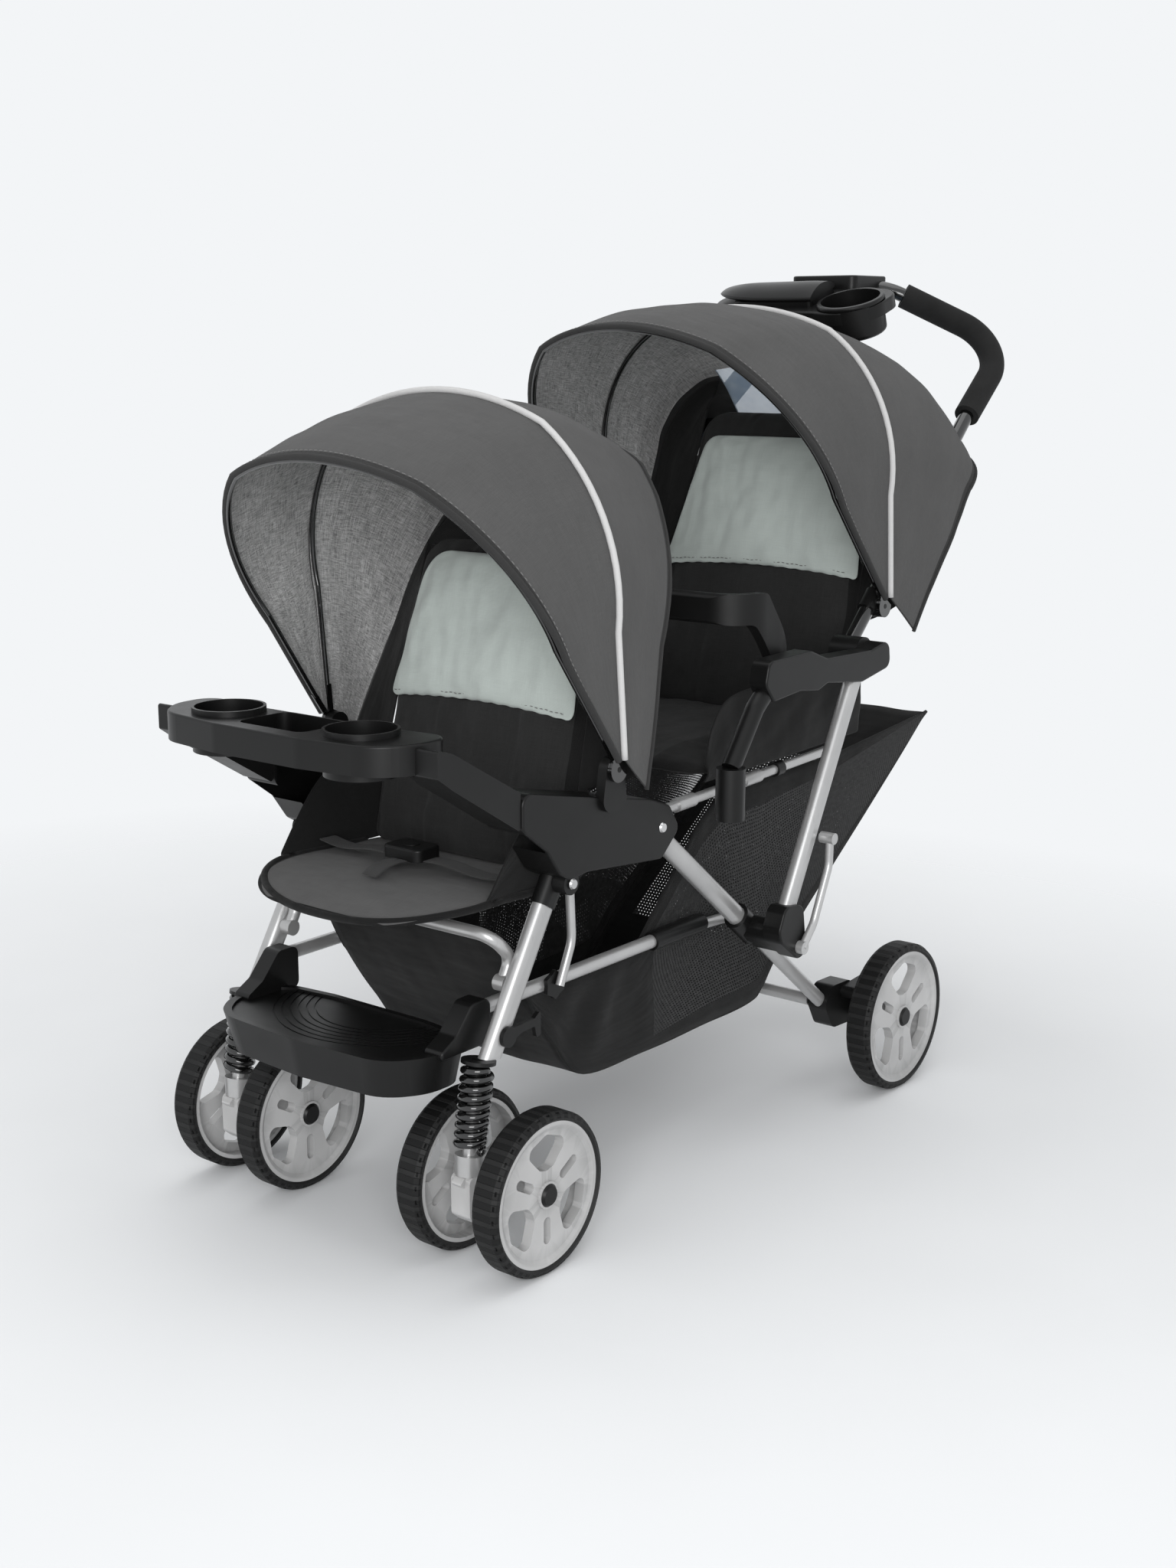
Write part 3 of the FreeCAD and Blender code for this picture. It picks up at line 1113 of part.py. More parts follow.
def console_outline(inset=0):
    """The console in plan before it is tilted: drawn to a tip on the side of the bin."""
    half, front, rear = s.console_half_width, s.console_front_y, s.console_rear_y
    depth = rear - front
    shares = [(-1, 0.5), (-0.82, 0.2), (-0.3, 0.12), (0.3, 0.06), (0.56, -0.02), (0.88, 0.3),
              (0.88, 0.8), (0.7, 1), (-0.76, 1), (-0.96, 0.8)]
    return [(half * a * (1 - inset / half), front + depth * b + inset * (1 if b < 0.45 else -1))
            for a, b in shares]


def tilted(shape):
    """The shape leaned down towards the front about the console's rear edge."""
    leaned = shape.copy()
    leaned.rotate(Vector(0, s.console_rear_y, CONSOLE_TOP), Vector(1, 0, 0), s.console_tilt)
    return leaned


def console_cup():
    """The cup's solid outer form: a rounded foot and a thick rim."""
    wall, low, top = s.console_wall, CONSOLE_LOW, CONSOLE_TOP + s.lid_thickness
    place = Vector(s.console_cup_x, s.console_cup_y, low)
    bowl = Part.makeCylinder(s.console_cup_radius + wall, top - low, place)
    foot = [edge for edge in bowl.Edges if edge.Closed and edge.CenterOfMass.z < low + wall]
    rim = Part.makeCylinder(s.console_cup_radius + 2 * wall, 2 * wall,
                            place + UP * (top - low - 2 * wall))
    rings = [edge for edge in rim.Edges if edge.Closed]
    return bowl.makeFillet(2 * wall, foot).fuse(rim.makeFillet(s.edge_round, rings))


def console_shape():
    """A shallow moulded tray: a covered bin on one side, an open cup on the other."""
    wall, top, low = s.console_wall, CONSOLE_TOP, CONSOLE_LOW
    skirt_low = top - (top - low) * 0.4
    outer = flat_plate(console_outline(), skirt_low, top, s.console_corner, s.edge_round)
    inner = flat_plate(console_outline(wall), skirt_low - s.cut_overrun, top - wall,
                       s.console_corner - wall)
    shell = outer.cut(inner)
    tub = flat_plate(bin_outline(wall), low + s.bin_floor - wall, top, s.bin_corner + wall)
    hinge_y = lid_hinge()[0]
    corners = [(x, y if y < hinge_y - s.bin_margin else hinge_y + wall)
               for x, y in bin_outline(wall)]
    rim = flat_plate(corners, top - wall, top + s.bin_rim, s.bin_corner / 2)
    shell = shell.fuse([console_cup(), tub, rim]).removeSplitter()
    shell = shell.cut(Part.makeCylinder(s.console_cup_radius, top,
                                        Vector(s.console_cup_x, s.console_cup_y,
                                               low + s.console_cup_floor)))
    shell = shell.cut(flat_plate(bin_outline(0), low + s.bin_floor,
                                 top + s.bin_rim + s.cut_overrun, s.bin_corner))
    groove = cross_rod(*lid_hinge(), s.bin_outer_x - 2 * wall, s.bin_inner_x + 2 * wall,
                       s.lid_thickness / 2 + s.running_gap)
    shell = tilted(shell.cut(groove))
    reach, half = s.handle_top_y + s.handle_block_depth / 2, s.handle_block_half_width
    front = s.console_rear_y - wall
    block_low = s.handle_top_z - s.handle_block_height * 0.6
    block = flat_plate([(-half, front), (half, front), (half, reach), (-half, reach)], block_low,
                       block_low + s.handle_block_height, s.handle_block_depth / 4, s.edge_round)
    return shell.fuse(block).cut(sweep(handle_path(), s.handle_radius))


def bin_outline(grow):
    """The bin in plan before it is tilted, grown by a wall."""
    low, high = s.bin_outer_x - grow, s.bin_inner_x + grow
    front, rear = s.bin_front_y - grow, s.console_rear_y - 1.6 * s.bin_margin + grow
    return [(low, front), (high, front), (high, rear), (low, rear)]


def lid_hinge():
    """Where the lid's barrel lies in the bin's rear rim before the console is tilted."""
    height = s.bin_rim + s.lid_gap + s.lid_thickness / 2
    return s.console_rear_y - s.bin_margin, CONSOLE_TOP + height


def lid_shape():
    """The domed lid over the bin: sections from its tip to its full width, and a barrel."""
    y, z = lid_hinge()
    low = z - s.lid_thickness / 2
    depth, half = y - s.bin_front_y, s.console_half_width
    section_shares = ((-0.97, 0.68, 0.3, 0.2), (-0.9, 0.52, 0.55, 0.4), (-0.74, 0.3, 0.8, 0.75),
                      (-0.4, 0.12, 0.95, 1), (0, 0.08, 1, 1.1), (0.2, 0.1, 0.95, 1))
    wires = []
    for across, front, height, dome in section_shares:
        start = s.bin_front_y - s.console_wall + depth * (front - 0.1)
        wire = cushion_section((y - start) / 2, 0, s.lid_thickness * height, s.lid_dome * dome)
        wire.rotate(Vector(0, 0, 0), UP, 90)
        wire.translate(Vector(half * across, (y + start) / 2, low))
        wires.append(wire)
    dome = Part.makeLoft(wires, True, False)
    barrel = cross_rod(y, z, s.bin_outer_x, s.bin_inner_x, s.lid_thickness / 2)
    print("lid turns about", [round(c, 1) for c in tilted(Part.Vertex(0, y, z)).Point])
    return tilted(dome.fuse(barrel))


def make_console():
    keep_shape("console", console_shape())
    keep_shape("console_lid", lid_shape())


def grab_plan(inset):
    """The grab bar in plan: a wide U, open behind its pivots."""
    x = s.rear_rest_inner_x - s.running_gap - s.grab_eye_width / 2 - inset
    front, back = s.grab_front_y + inset, s.grab_pivot_y + 2 * s.grab_eye_radius
    return [(x, back), (x, front), (-x, front), (-x, back)]


def make_grab_bar():
    """A flat band across the rear seat, with an eye on each arm that turns on the armrest's pin."""
    y, z, eye = s.grab_pivot_y, s.rear_rest_z, s.grab_eye_radius
    front, half = s.grab_front_y - s.cut_overrun, s.grab_depth / 2
    top, low = s.grab_bar_z + half, s.grab_bar_z - half
    run = y - s.grab_front_y
    side = [(front, low), (front, top), (y - run * 0.45, top), (y + eye * 0.8, z + eye),
            (y + eye * 0.8, z - eye * 0.6), (y - eye * 0.8, z - eye * 0.6), (y - run * 0.66, low)]
    reach = s.rear_rest_inner_x
    band = side_plate(side, -reach, reach, eye * 0.7)
    outer = flat_plate(grab_plan(0), z - 2 * eye, top, s.grab_bend)
    inner = flat_plate([(a, b + s.cut_overrun) if b > y else (a, b) for a, b in grab_plan(s.grab_wall)],
                       z - 2 * eye, top, s.grab_bend - s.grab_wall)
    bar = band.common(outer.cut(inner))
    low_x, high_x = grab_eye_low(), reach - s.running_gap
    pivot = cross_rod(y, z, low_x, high_x, eye * 0.9)
    bore = cross_rod(y, z, low_x - s.cut_overrun, high_x + s.cut_overrun,
                     s.grab_pin_radius + s.sliding_clearance)
    keep_shape("grab_bar", bar.fuse(pair(pivot)).cut(pair(bore)))


# Footrest and child's tray


def footrest_outline(inset=0):
    half, rear, front = s.footrest_half_width, s.footrest_rear_y, FOOTREST_FRONT
    shares = [(1, 0), (1, 0.6), (0.8, 0.93), (0, 1), (-0.8, 0.93), (-1, 0.6), (-1, 0),
              (-0.45, -0.08), (0.45, -0.08)]
    return [(half * a * (1 - inset / half), rear + (front - rear) * b + inset * (1 if b > 0.3 else -1))
            for a, b in shares]


def footrest_arm():
    """The arm that rises from the footrest's side to the side rail's front end."""
    outer = s.side_rail_x + s.side_rail_radius + s.running_gap * 3
    y, top, step = s.footrest_rear_y, s.footrest_arm_top_z, s.footrest_step
    base = s.footrest_top_z - s.footrest_dish - s.footrest_wall
    outline = [(y - 4.8 * step, base), (y - 2.4 * step, top - step * 0.8), (y - 0.8 * step, top + step),
               (y + step, top + step), (y + step, base)]
    return side_plate(outline, outer - s.footrest_arm_width, outer, step * 0.6, s.edge_round)


def footrest_solid(inset, low, high):
    """The step between its drawn-in underside and its rim."""
    rings = []
    for height, draft in ((low, s.footrest_draft), (high, 0)):
        points = [Vector(x, y, height) for x, y in footrest_outline(inset + draft)]
        rings.append(rounded_wire(points, s.footrest_corner))
    return Part.makeLoft(rings, True, True)


def footrest_shape():
    """A wide dished step with concentric grooves, hollow underneath, on two rising arms."""
    floor = s.footrest_top_z - s.footrest_dish
    outer = footrest_solid(0, FOOTREST_LOW, s.footrest_top_z)
    inner = footrest_solid(s.footrest_wall, FOOTREST_LOW - s.cut_overrun, floor - s.footrest_wall)
    dish = flat_plate(footrest_outline(s.footrest_rim), floor, s.footrest_top_z + s.cut_overrun,
                      s.footrest_corner)
    step = outer.cut([inner, dish])
    tools = []
    for place in range(int(s.footrest_grooves)):
        radius = s.footrest_half_width * 0.86 - place * s.groove_pitch
        centre = Vector(0, FOOTREST_FRONT + s.footrest_half_width, floor - s.groove_depth)
        ring = Part.makeCylinder(radius, 2 * s.groove_depth, centre)
        ring = ring.cut(Part.makeCylinder(radius - s.groove_width, 2 * s.groove_depth, centre))
        reach = s.footrest_half_width - s.footrest_arm_width - s.footrest_rim
        window = Part.makeBox(2 * reach, s.footrest_depth, 2 * s.groove_depth,
                              Vector(-reach, FOOTREST_FRONT, centre.z))
        tools.append(ring.common(window))
    step = step.cut(Part.makeCompound(tools))
    rails = [on_side(rod(Vector(s.side_rail_x, s.side_rail_front_y, s.side_rail_z),
                         Vector(s.side_rail_x, s.side_rail_joint_y, s.side_rail_z),
                         s.side_rail_radius + s.sliding_clearance), side) for side in SIDES.values()]
    return step.fuse(pair(footrest_arm())).cut(rails)


def tray_outline(inset=0):
    half, rear, front = s.tray_half_width, s.tray_rear_y, s.tray_front_y
    shares = [(1, 0), (1, 0.52), (0.84, 0.88), (0.34, 0.99), (-0.34, 0.99), (-0.84, 0.88),
              (-1, 0.52), (-1, 0), (-0.5, 0.1), (0.5, 0.1)]
    return [(half * a * (1 - inset / half), rear + (front - rear) * b + inset * (1 if b > 0.4 else -1))
            for a, b in shares]


def tray_arm():
    """The arm from the tray's rear corner down to the front end of the armrest."""
    end = s.pivot_y - s.armrest_reach - s.running_gap
    top = s.pivot_z + s.armrest_rise
    low = s.pivot_z + s.armrest_rise * 0.5
    front = s.tray_side_y
    knee = front + (s.tray_rear_y - front) * 0.4
    outline = [(front, s.tray_top_z - s.tray_wall), (knee, s.tray_top_z - 3 * s.tray_wall),
               (end, top), (end, low), (knee, s.tray_bottom_z - 5 * s.tray_wall),
               (front, s.tray_bottom_z)]
    outer = s.armrest_outer_x - s.edge_round
    return side_plate(outline, s.armrest_inner_x + s.edge_round, outer, s.tray_wall)


def tray_shape():
    """The child's tray: a deep rim, two cups and a recess between them."""
    wall, top, low = s.tray_wall, s.tray_top_z, s.tray_bottom_z
    outer = flat_plate(tray_outline(), low, top, s.tray_corner, s.edge_round)
    inner = flat_plate(tray_outline(wall), low - s.cut_overrun, top - wall, s.tray_corner - wall)
    shell = outer.cut(inner)
    arms = [arm.cut(flat_plate(tray_outline(wall), low - s.cut_overrun, top - wall,
                               s.tray_corner - wall)) for arm in pair(tray_arm())]
    floor = s.cup_floor_z - wall
    cups = [Part.makeCylinder(s.tray_cup_radius + s.cup_wall, top + s.cup_lip - floor,
                              Vector(side * s.cup_x, s.cup_y, floor)) for side in SIDES.values()]
    recess = [(-s.recess_half_width, s.recess_front_y), (s.recess_half_width, s.recess_front_y),
              (s.recess_half_width, s.recess_rear_y), (-s.recess_half_width, s.recess_rear_y)]
    grown = [(a + math.copysign(wall, a), b - wall if b < s.cup_y else b + wall) for a, b in recess]
    tub = flat_plate(grown, s.recess_floor_z - wall, top, s.recess_corner + wall)
    shell = shell.fuse(arms + cups + [tub]).removeSplitter()
    bores = [Part.makeCylinder(s.tray_cup_radius, top, Vector(side * s.cup_x, s.cup_y, s.cup_floor_z))
             for side in SIDES.values()]
    return shell.cut(bores + [flat_plate(recess, s.recess_floor_z, top + wall, s.recess_corner)])


def make_front_fittings():
    keep_shape("footrest", footrest_shape())
    keep_shape("child_tray", tray_shape())


# Seats


def cushion_section(half_width, low, high, crown):
    """A section across a cushion: flat below, drawn-in sides and a crowned top."""
    depth = high - low
    tuck = depth * 0.25
    side_low, side_high = Vector(half_width - tuck, 0, low), Vector(half_width - tuck, 0, high)
    bulge = Vector(half_width, 0, low + depth / 2)
    other_low, other_high = Vector(-side_low.x, 0, low), Vector(-side_high.x, 0, high)
    top = Vector(0, 0, high + crown)
    edges = [Part.LineSegment(other_low, side_low), Part.Arc(side_low, bulge, side_high),
             Part.Arc(side_high, top, other_high),
             Part.Arc(other_high, Vector(-bulge.x, 0, bulge.z), other_low)]
    return Part.Wire([edge.toShape() for edge in edges])


def cushion(sections):
    """A cushion lofted through sections: along Y, half width, low, high and crown of each."""
    wires = []
    for along, half_width, low, high, crown in sections:
        wire = cushion_section(half_width, low, high, crown)
        wire.translate(Vector(0, along, 0))
        wires.append(wire)
    return Part.makeLoft(wires, True, False)


def make_seat_pans():
    low = s.cross_tube_z + s.front_tube_radius + s.running_gap
    high = low + s.seat_thickness
    front, rear, half = s.front_seat_front_y, s.front_seat_rear_y, s.front_seat_half_width
    length = rear - front
    shares = [(0, 0.42, 0.3, 0.1), (0.06, 0.66, 0.5, 0.2), (0.16, 0.85, 0.7, 0.35),
              (0.3, 0.97, 0.92, 0.5), (0.55, 1.01, 1, 0.5), (0.78, 1, 1, 0.1), (1, 0.98, 0.9, 0.05)]
    keep_shape("front_seat", cushion([(front + length * a, half * w, low, low + (high - low) * t,
                                       s.front_seat_crown * c) for a, w, t, c in shares]))
    front, rear, half = s.rear_seat_front_y, s.rear_seat_rear_y, s.rear_seat_half_width
    length = rear - front
    shares = [(0, 0.92, 0.6, 0.2), (0.08, 1, 0.95, 0.8), (0.45, 1, 1, 1), (0.75, 1, 1, 0.1),
              (1, 0.98, 0.9, 0.05)]
    base = rail_rear().z + s.seat_rail_radius + s.running_gap
    top = base + s.rear_seat_thickness
    pan = cushion([(front + length * a, half * w, base, base + (top - base) * t,
                    s.rear_seat_crown * c) for a, w, t, c in shares])
    keep_shape("rear_seat", pan.fuse(pair(seat_side(base))))
    return high, top


def seat_side(base):
    """A thin side panel that stands up beside the rear seat, from its front to the back's foot."""
    front, length = s.rear_seat_front_y, s.rear_seat_rear_y - s.rear_seat_front_y
    shares = [(0.01, 0.06), (0.01, 0.55), (0.12, 0.8), (0.5, 0.72), (0.95, 1), (0.98, 0.06)]
    outline = [(front + length * a, base + s.seat_side_height * b) for a, b in shares]
    high = s.seat_side_x + s.seat_side_thickness
    return side_plate(outline, s.seat_side_x, high, s.armrest_corner)


def seat_back(foot_y, foot_z, height, half_width, lean):
    """A padded back: sections stacked up its height, crowned to the front, then leaned back."""
    section_shares = [(0, 0.93, 0.7, 0.2), (0.12, 1, 1, 0.6), (0.5, 0.99, 1, 1),
                      (0.8, 0.94, 0.95, 0.8), (0.94, 0.86, 0.8, 0.5), (1, 0.7, 0.5, 0.2)]
    thick = s.back_thickness
    wires = []
    for up, wide, deep, crown in section_shares:
        wire = cushion_section(half_width * wide, -thick, -thick + thick * deep, s.back_crown * crown)
        wire.translate(Vector(0, height * up, 0))
        wires.append(wire)
    back = Part.makeLoft(wires, True, False)
    upright = Rotation(Vector(1, 0, 0), 90)
    back.Placement = Placement(Vector(0, foot_y, foot_z), Rotation(Vector(1, 0, 0), -lean).multiply(upright))
    return back


def make_seat_backs(front_top, rear_top):
    """The backs stand on the pans, each turning about its lower rear edge."""
    for name, foot_y, top, height, half, lean in (
            ("front", s.front_back_foot_y, front_top, s.front_back_height, s.front_back_half_width,
             s.front_back_lean),
            ("rear", s.rear_back_foot_y, rear_top, s.rear_back_height, s.rear_back_half_width,
             s.rear_back_lean)):
        dip = s.back_thickness * math.sin(math.radians(lean))
        crown = s.front_seat_crown * 0.1
        rise = s.running_gap + dip + crown
        back = seat_back(foot_y, top + rise, height, half, lean)
        keep_shape(f"{name}_seat_back", back)
        print(name, "back turns about", round(foot_y + s.back_thickness, 1), round(top, 1))


# Basket


def basket_outline(inset=0):
    """Side view of the basket: low between the axles, rising behind the rear legs."""
    points = [(s.basket_front_y, s.basket_front_top_z), (s.basket_front_y, s.basket_front_low_z),
              (s.basket_low_front_y, s.basket_low_front_z), (s.basket_low_rear_y, s.basket_low_rear_z),
              (s.basket_rise_y, s.basket_rise_z), (s.basket_rear_y, s.basket_rear_z),
              (s.rear_seat_rear_y, s.basket_side_top_z),
              (s.seat_rail_front_y + 6 * s.clip_radius, s.basket_side_top_z),
              (s.side_rail_rear_y, s.basket_front_top_z)]
    pull_shares = [(1, 0), (1, 1), (0, 1), (0, 1), (-0.6, 1), (-1.6, 0), (0, 0), (0, 0), (0, 0)]
    return [(y + inset * a, z + inset * b) for (y, z), (a, b) in zip(points, pull_shares)]


def make_basket():
    """A thin-walled basket, open at the top between its sides."""
    half, wall = s.basket_half_width, s.basket_wall
    outer = side_plate(basket_outline(), -half, half, s.basket_corner)
    raised = basket_outline(wall)[1:6]
    open_z = 2 * s.basket_rear_z
    room = raised + [(raised[-1][0], open_z), (raised[0][0], open_z), raised[0]]
    wire = Part.makePolygon([Vector(-half + wall, y, z) for y, z in room])
    inner = Part.Face(wire).extrude(Vector(2 * (half - wall), 0, 0))
    keep_shape("basket", outer.cut(inner))


# Canopies


def out_from(hinge, angle, reach):
    """The point of the side view at a reach and an angle from a canopy's hinge."""
    lean = math.radians(angle)
    return hinge[0] - reach * math.sin(lean), hinge[1] + reach * math.cos(lean)


def arch(foot, top, width, square=0, taper=0):
    """A hoop between two points of the side view: straight sides, shoulders and an arched top."""
    round_shares = ((1, 0.36), (0.9, 0.73), (0.62, 0.92))
    square_shares = ((1, 0.78), (0.965, 0.92), (0.84, 0.978))

    def place(across, share):
        return Vector(across * (1 - taper * share), foot[0] + (top[0] - foot[0]) * share,
                      foot[1] + (top[1] - foot[1]) * share)

    corners = [(a + (c - a) * square, b + (d - b) * square)
               for (a, b), (c, d) in zip(round_shares, square_shares)]
    side = [place(width, 0)] + [place(width * a, b) for a, b in corners]
    other = [Vector(-p.x, p.y, p.z) for p in side]
    return [Part.LineSegment(side[0], side[1]), Part.Arc(side[1], side[2], side[3]),
            Part.Arc(side[3], place(0, 1), other[3]), Part.Arc(other[3], other[2], other[1]),
            Part.LineSegment(other[1], other[0])]


def cloth_section(foot, top, square, taper):
    """The section of the canopy cloth between two points of the side view."""
    rise = math.dist(foot, top)
    inner_top = [b + (a - b) * s.hood_cloth / rise for a, b in zip(foot, top)]
    outer = arch(foot, top, s.hood_half_width, square, taper)
    inner = arch(foot, inner_top, s.hood_half_width - s.hood_cloth, square, taper)
    ends = [Part.LineSegment(outer[-1].EndPoint, inner[-1].EndPoint),
            Part.LineSegment(inner[0].StartPoint, outer[0].StartPoint)]
    edges = [curve.toShape() for curve in outer + [ends[0]] + inner + [ends[1]]]
    return Part.Wire(Part.__sortEdges__(edges))


def cloth(hinge, start, end):
    """Cloth stretched between two hems, sagging a little; a hem is a foot, an angle, a height,
    a squareness and a taper."""
    wires = []
    planes = int(s.hood_planes)
    for place in range(planes + 1):
        share = place / planes
        foot = [a + (b - a) * share for a, b in zip(start[0], end[0])]
        angle, height, square, taper = [a + (b - a) * share for a, b in zip(start[1:], end[1:])]
        height -= s.hood_sag * math.sin(math.pi * share)
        wires.append(cloth_section(foot, out_from(hinge, angle, height), square, taper))
    return Part.makeLoft(wires, True, True)


def bow(hinge, angle, height, layer, taper):
    """A bow inside the cloth, with an arm and a hinge disc at each foot."""
    inset = s.hood_cloth + s.bow_radius + s.hood_fold_gap
    foot, top = out_from(hinge, angle, s.hood_foot), out_from(hinge, angle, height - inset)
    curves = arch(foot, top, s.hood_half_width - inset, 0, taper)
    hoop = sweep(Part.Wire([curve.toShape() for curve in curves]), s.bow_radius)
    thick = s.hinge_disc_thickness / 2
    low = hood_pin_low() + s.running_gap + layer * disc_pitch()
    disc = cross_rod(*hinge, low, low + thick, s.hinge_disc_radius)
    wide = s.hinge_disc_radius / 4
    arm = Part.makeBox(thick, 2 * wide, s.hood_foot + 2 * s.bow_radius, Vector(low, -wide, 0))
    arm.Placement = Placement(Vector(0, *hinge), Rotation(Vector(1, 0, 0), angle))
    bore = cross_rod(*hinge, low - thick, low + 2 * thick, s.hood_pin_radius + s.sliding_clearance)
    return hoop.fuse(pair(disc) + pair(arm)).cut(pair(bore))


def handle_room():
    """The space round the lower handle tube, which leaves the canopy through its sides."""
    foot, bend = handle_points()[:2]
    return rod(foot, bend + (bend - foot) * GRIP_SHARES[0], s.handle_radius + s.hood_fold_gap)


def make_canopies():
    """Two canopies, each a hood behind the middle bow and a visor in front of it."""
    for name, hinge, hem_shares, lip_shares in (
            ("front", (s.front_hood_hinge_y, s.front_hood_hinge_z), (0.1, 0.3), (0, 0.06)),
            ("rear", (s.rear_hood_hinge_y, s.rear_hood_hinge_z), (1, 0.04), (0, 0.08))):
        visor = getattr(s, f"{name}_visor_angle"), getattr(s, f"{name}_visor_height")
        middle = getattr(s, f"{name}_bow_angle"), getattr(s, f"{name}_hood_height")
        hem = getattr(s, f"{name}_hem_angle"), getattr(s, f"{name}_hem_height")
        hem_foot = getattr(s, f"{name}_hem_foot_y"), getattr(s, f"{name}_hem_foot_z")
        part_way = math.degrees(s.hood_fold_gap / middle[1])
        behind, before = middle[0] - part_way, middle[0] + part_way
        back_edge = out_from(hinge, behind, s.hood_foot), behind, middle[1], 0, 0
        front_edge = out_from(hinge, before, s.hood_foot), before, middle[1], 0, 0
        hood = cloth(hinge, (hem_foot, *hem, *hem_shares), back_edge)
        if name == "rear":
            hood = hood.cut(pair(handle_room()))
        keep_shape(f"{name}_hood", hood)
        lip = out_from(hinge, visor[0], s.hood_foot), *visor, *lip_shares
        keep_shape(f"{name}_visor", cloth(hinge, front_edge, lip))
        keep_shape(f"{name}_hood_bow", bow(hinge, *middle, 0, 0))
        keep_shape(f"{name}_visor_bow", bow(hinge, *visor, 1, lip_shares[1]))


# Harness, buckle and storage latch


def laid_on(seat, low, high):
    """A strip of webbing that lies on a seat, above a rectangle in plan."""
    strip = Part.makeBox(high[0] - low[0], high[1] - low[1], s.front_seat_z,
                         Vector(*low, s.front_seat_z - s.front_seat_crown))
    under, over = seat.copy(), seat.copy()
    under.translate(UP * s.running_gap)
    over.translate(UP * (s.running_gap + s.webbing_thickness))
    return over.common(strip).cut(under)


def make_harness():
    """Lap belts and a crotch strap on the front seat, and a buckle with a round button."""
    seat = nodes["front_seat"].Shape
    half, wide, y = s.front_seat_half_width - s.back_crown, s.webbing_width / 2, s.buckle_y
    belts = laid_on(seat, (-half, y - wide), (half, y + wide))
    strap = laid_on(seat, (-wide, y - s.buckle_width), (wide, y - wide - s.running_gap))
    keep_shape("harness", belts, strap)
    middle = belts.common(cross_box(s.webbing_width, y))
    base = max(corner.Z for corner in middle.Vertexes) + 2 * s.running_gap
    across, along = s.buckle_width / 2, s.buckle_height / 2
    box = flat_plate([(-across, y - along), (across, y - along), (across, y + along),
                      (-across, y + along)], base, base + s.buckle_thickness, along / 2, s.edge_round)
    well = s.button_height + s.button_travel
    low = base + s.buckle_thickness - s.button_height
    room = Part.makeCylinder(s.button_radius + s.sliding_clearance, well + s.cut_overrun,
                             Vector(0, y, low - s.button_travel - s.running_gap))
    keep_shape("buckle", box.cut(room))
    button = Part.makeCylinder(s.button_radius, s.button_height + s.button_travel / 3, Vector(0, y, low))
    keep_shape("buckle_button", button)


def cross_box(wide, y):
    """A narrow box across the middle of the seat, as high as the seat's crown reaches."""
    return Part.makeBox(wide, wide, s.front_seat_z, Vector(-wide / 2, y - wide / 2, s.front_seat_z))


def make_latch():
    """The hook on the left front leg that holds the frame shut when it is folded."""
    low = s.front_leg_x + s.leg_thickness / 2 + s.running_gap
    high = low + s.latch_thickness
    y, z, r = s.latch_y, s.latch_z, s.latch_radius
    disc = cross_rod(y, z, low, high, r)
    reach = s.latch_reach
    outline = [(y, z + r * 0.8), (y + reach * 0.8, z + r * 0.9), (y + reach, z + r * 1.5),
               (y + reach, z - r), (y + reach * 0.86, z - r * 1.1), (y + reach * 0.8, z + r * 0.1),
               (y + reach * 0.4, z), (y, z - r * 0.6)]
    hook = side_plate(outline, low, high, r / 6)
    keep_shape("storage_latch", disc.fuse(hook))


def export():
    """Stops at any failed object, then writes each sub-part to its own file."""
    doc.recompute()
    for thing in doc.Objects:
        if "Invalid" in thing.State or "Error" in thing.State:
            raise RuntimeError(f"{thing.Label} failed: {thing.State}")
    for label, thing in nodes.items():
        if thing.Shape.isNull() or not thing.Shape.isValid():
            raise RuntimeError(f"{label} has no valid shape")
    os.makedirs("parts", exist_ok=True)
    for label, thing in nodes.items():
        thing.Shape.exportStep(f"parts/{label}.step")
    print(len(nodes), "sub-parts written")


make_wheels()
make_casters()
make_springs()
make_front_legs()
make_armrests()
make_frame_bolts()
make_seat_rails()
make_lower_rails()
make_frame_sleeves()
make_rear_legs()
make_rear_fittings()
make_handle_posts()
make_post_shoes()
make_rear_armrests()
make_struts()
make_handle()
make_console()
make_grab_bar()
make_front_fittings()
make_seat_backs(*make_seat_pans())
make_basket()
make_canopies()
make_harness()
make_latch()
export()
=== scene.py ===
"""Looks of the tandem stroller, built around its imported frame. Metres, in the frame's axes."""
import math
import bpy
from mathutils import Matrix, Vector, noise


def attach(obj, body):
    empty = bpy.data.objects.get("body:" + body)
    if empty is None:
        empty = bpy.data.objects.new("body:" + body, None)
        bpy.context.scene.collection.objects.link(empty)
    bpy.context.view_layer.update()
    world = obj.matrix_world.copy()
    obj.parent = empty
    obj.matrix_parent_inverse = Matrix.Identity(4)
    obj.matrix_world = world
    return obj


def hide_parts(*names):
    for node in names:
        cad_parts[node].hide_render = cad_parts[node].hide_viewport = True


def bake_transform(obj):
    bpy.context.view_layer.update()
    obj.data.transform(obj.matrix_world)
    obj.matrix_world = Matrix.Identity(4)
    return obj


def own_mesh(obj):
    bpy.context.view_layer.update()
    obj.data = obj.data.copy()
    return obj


noise.seed_set(7)  # else noise_vector starts from the clock

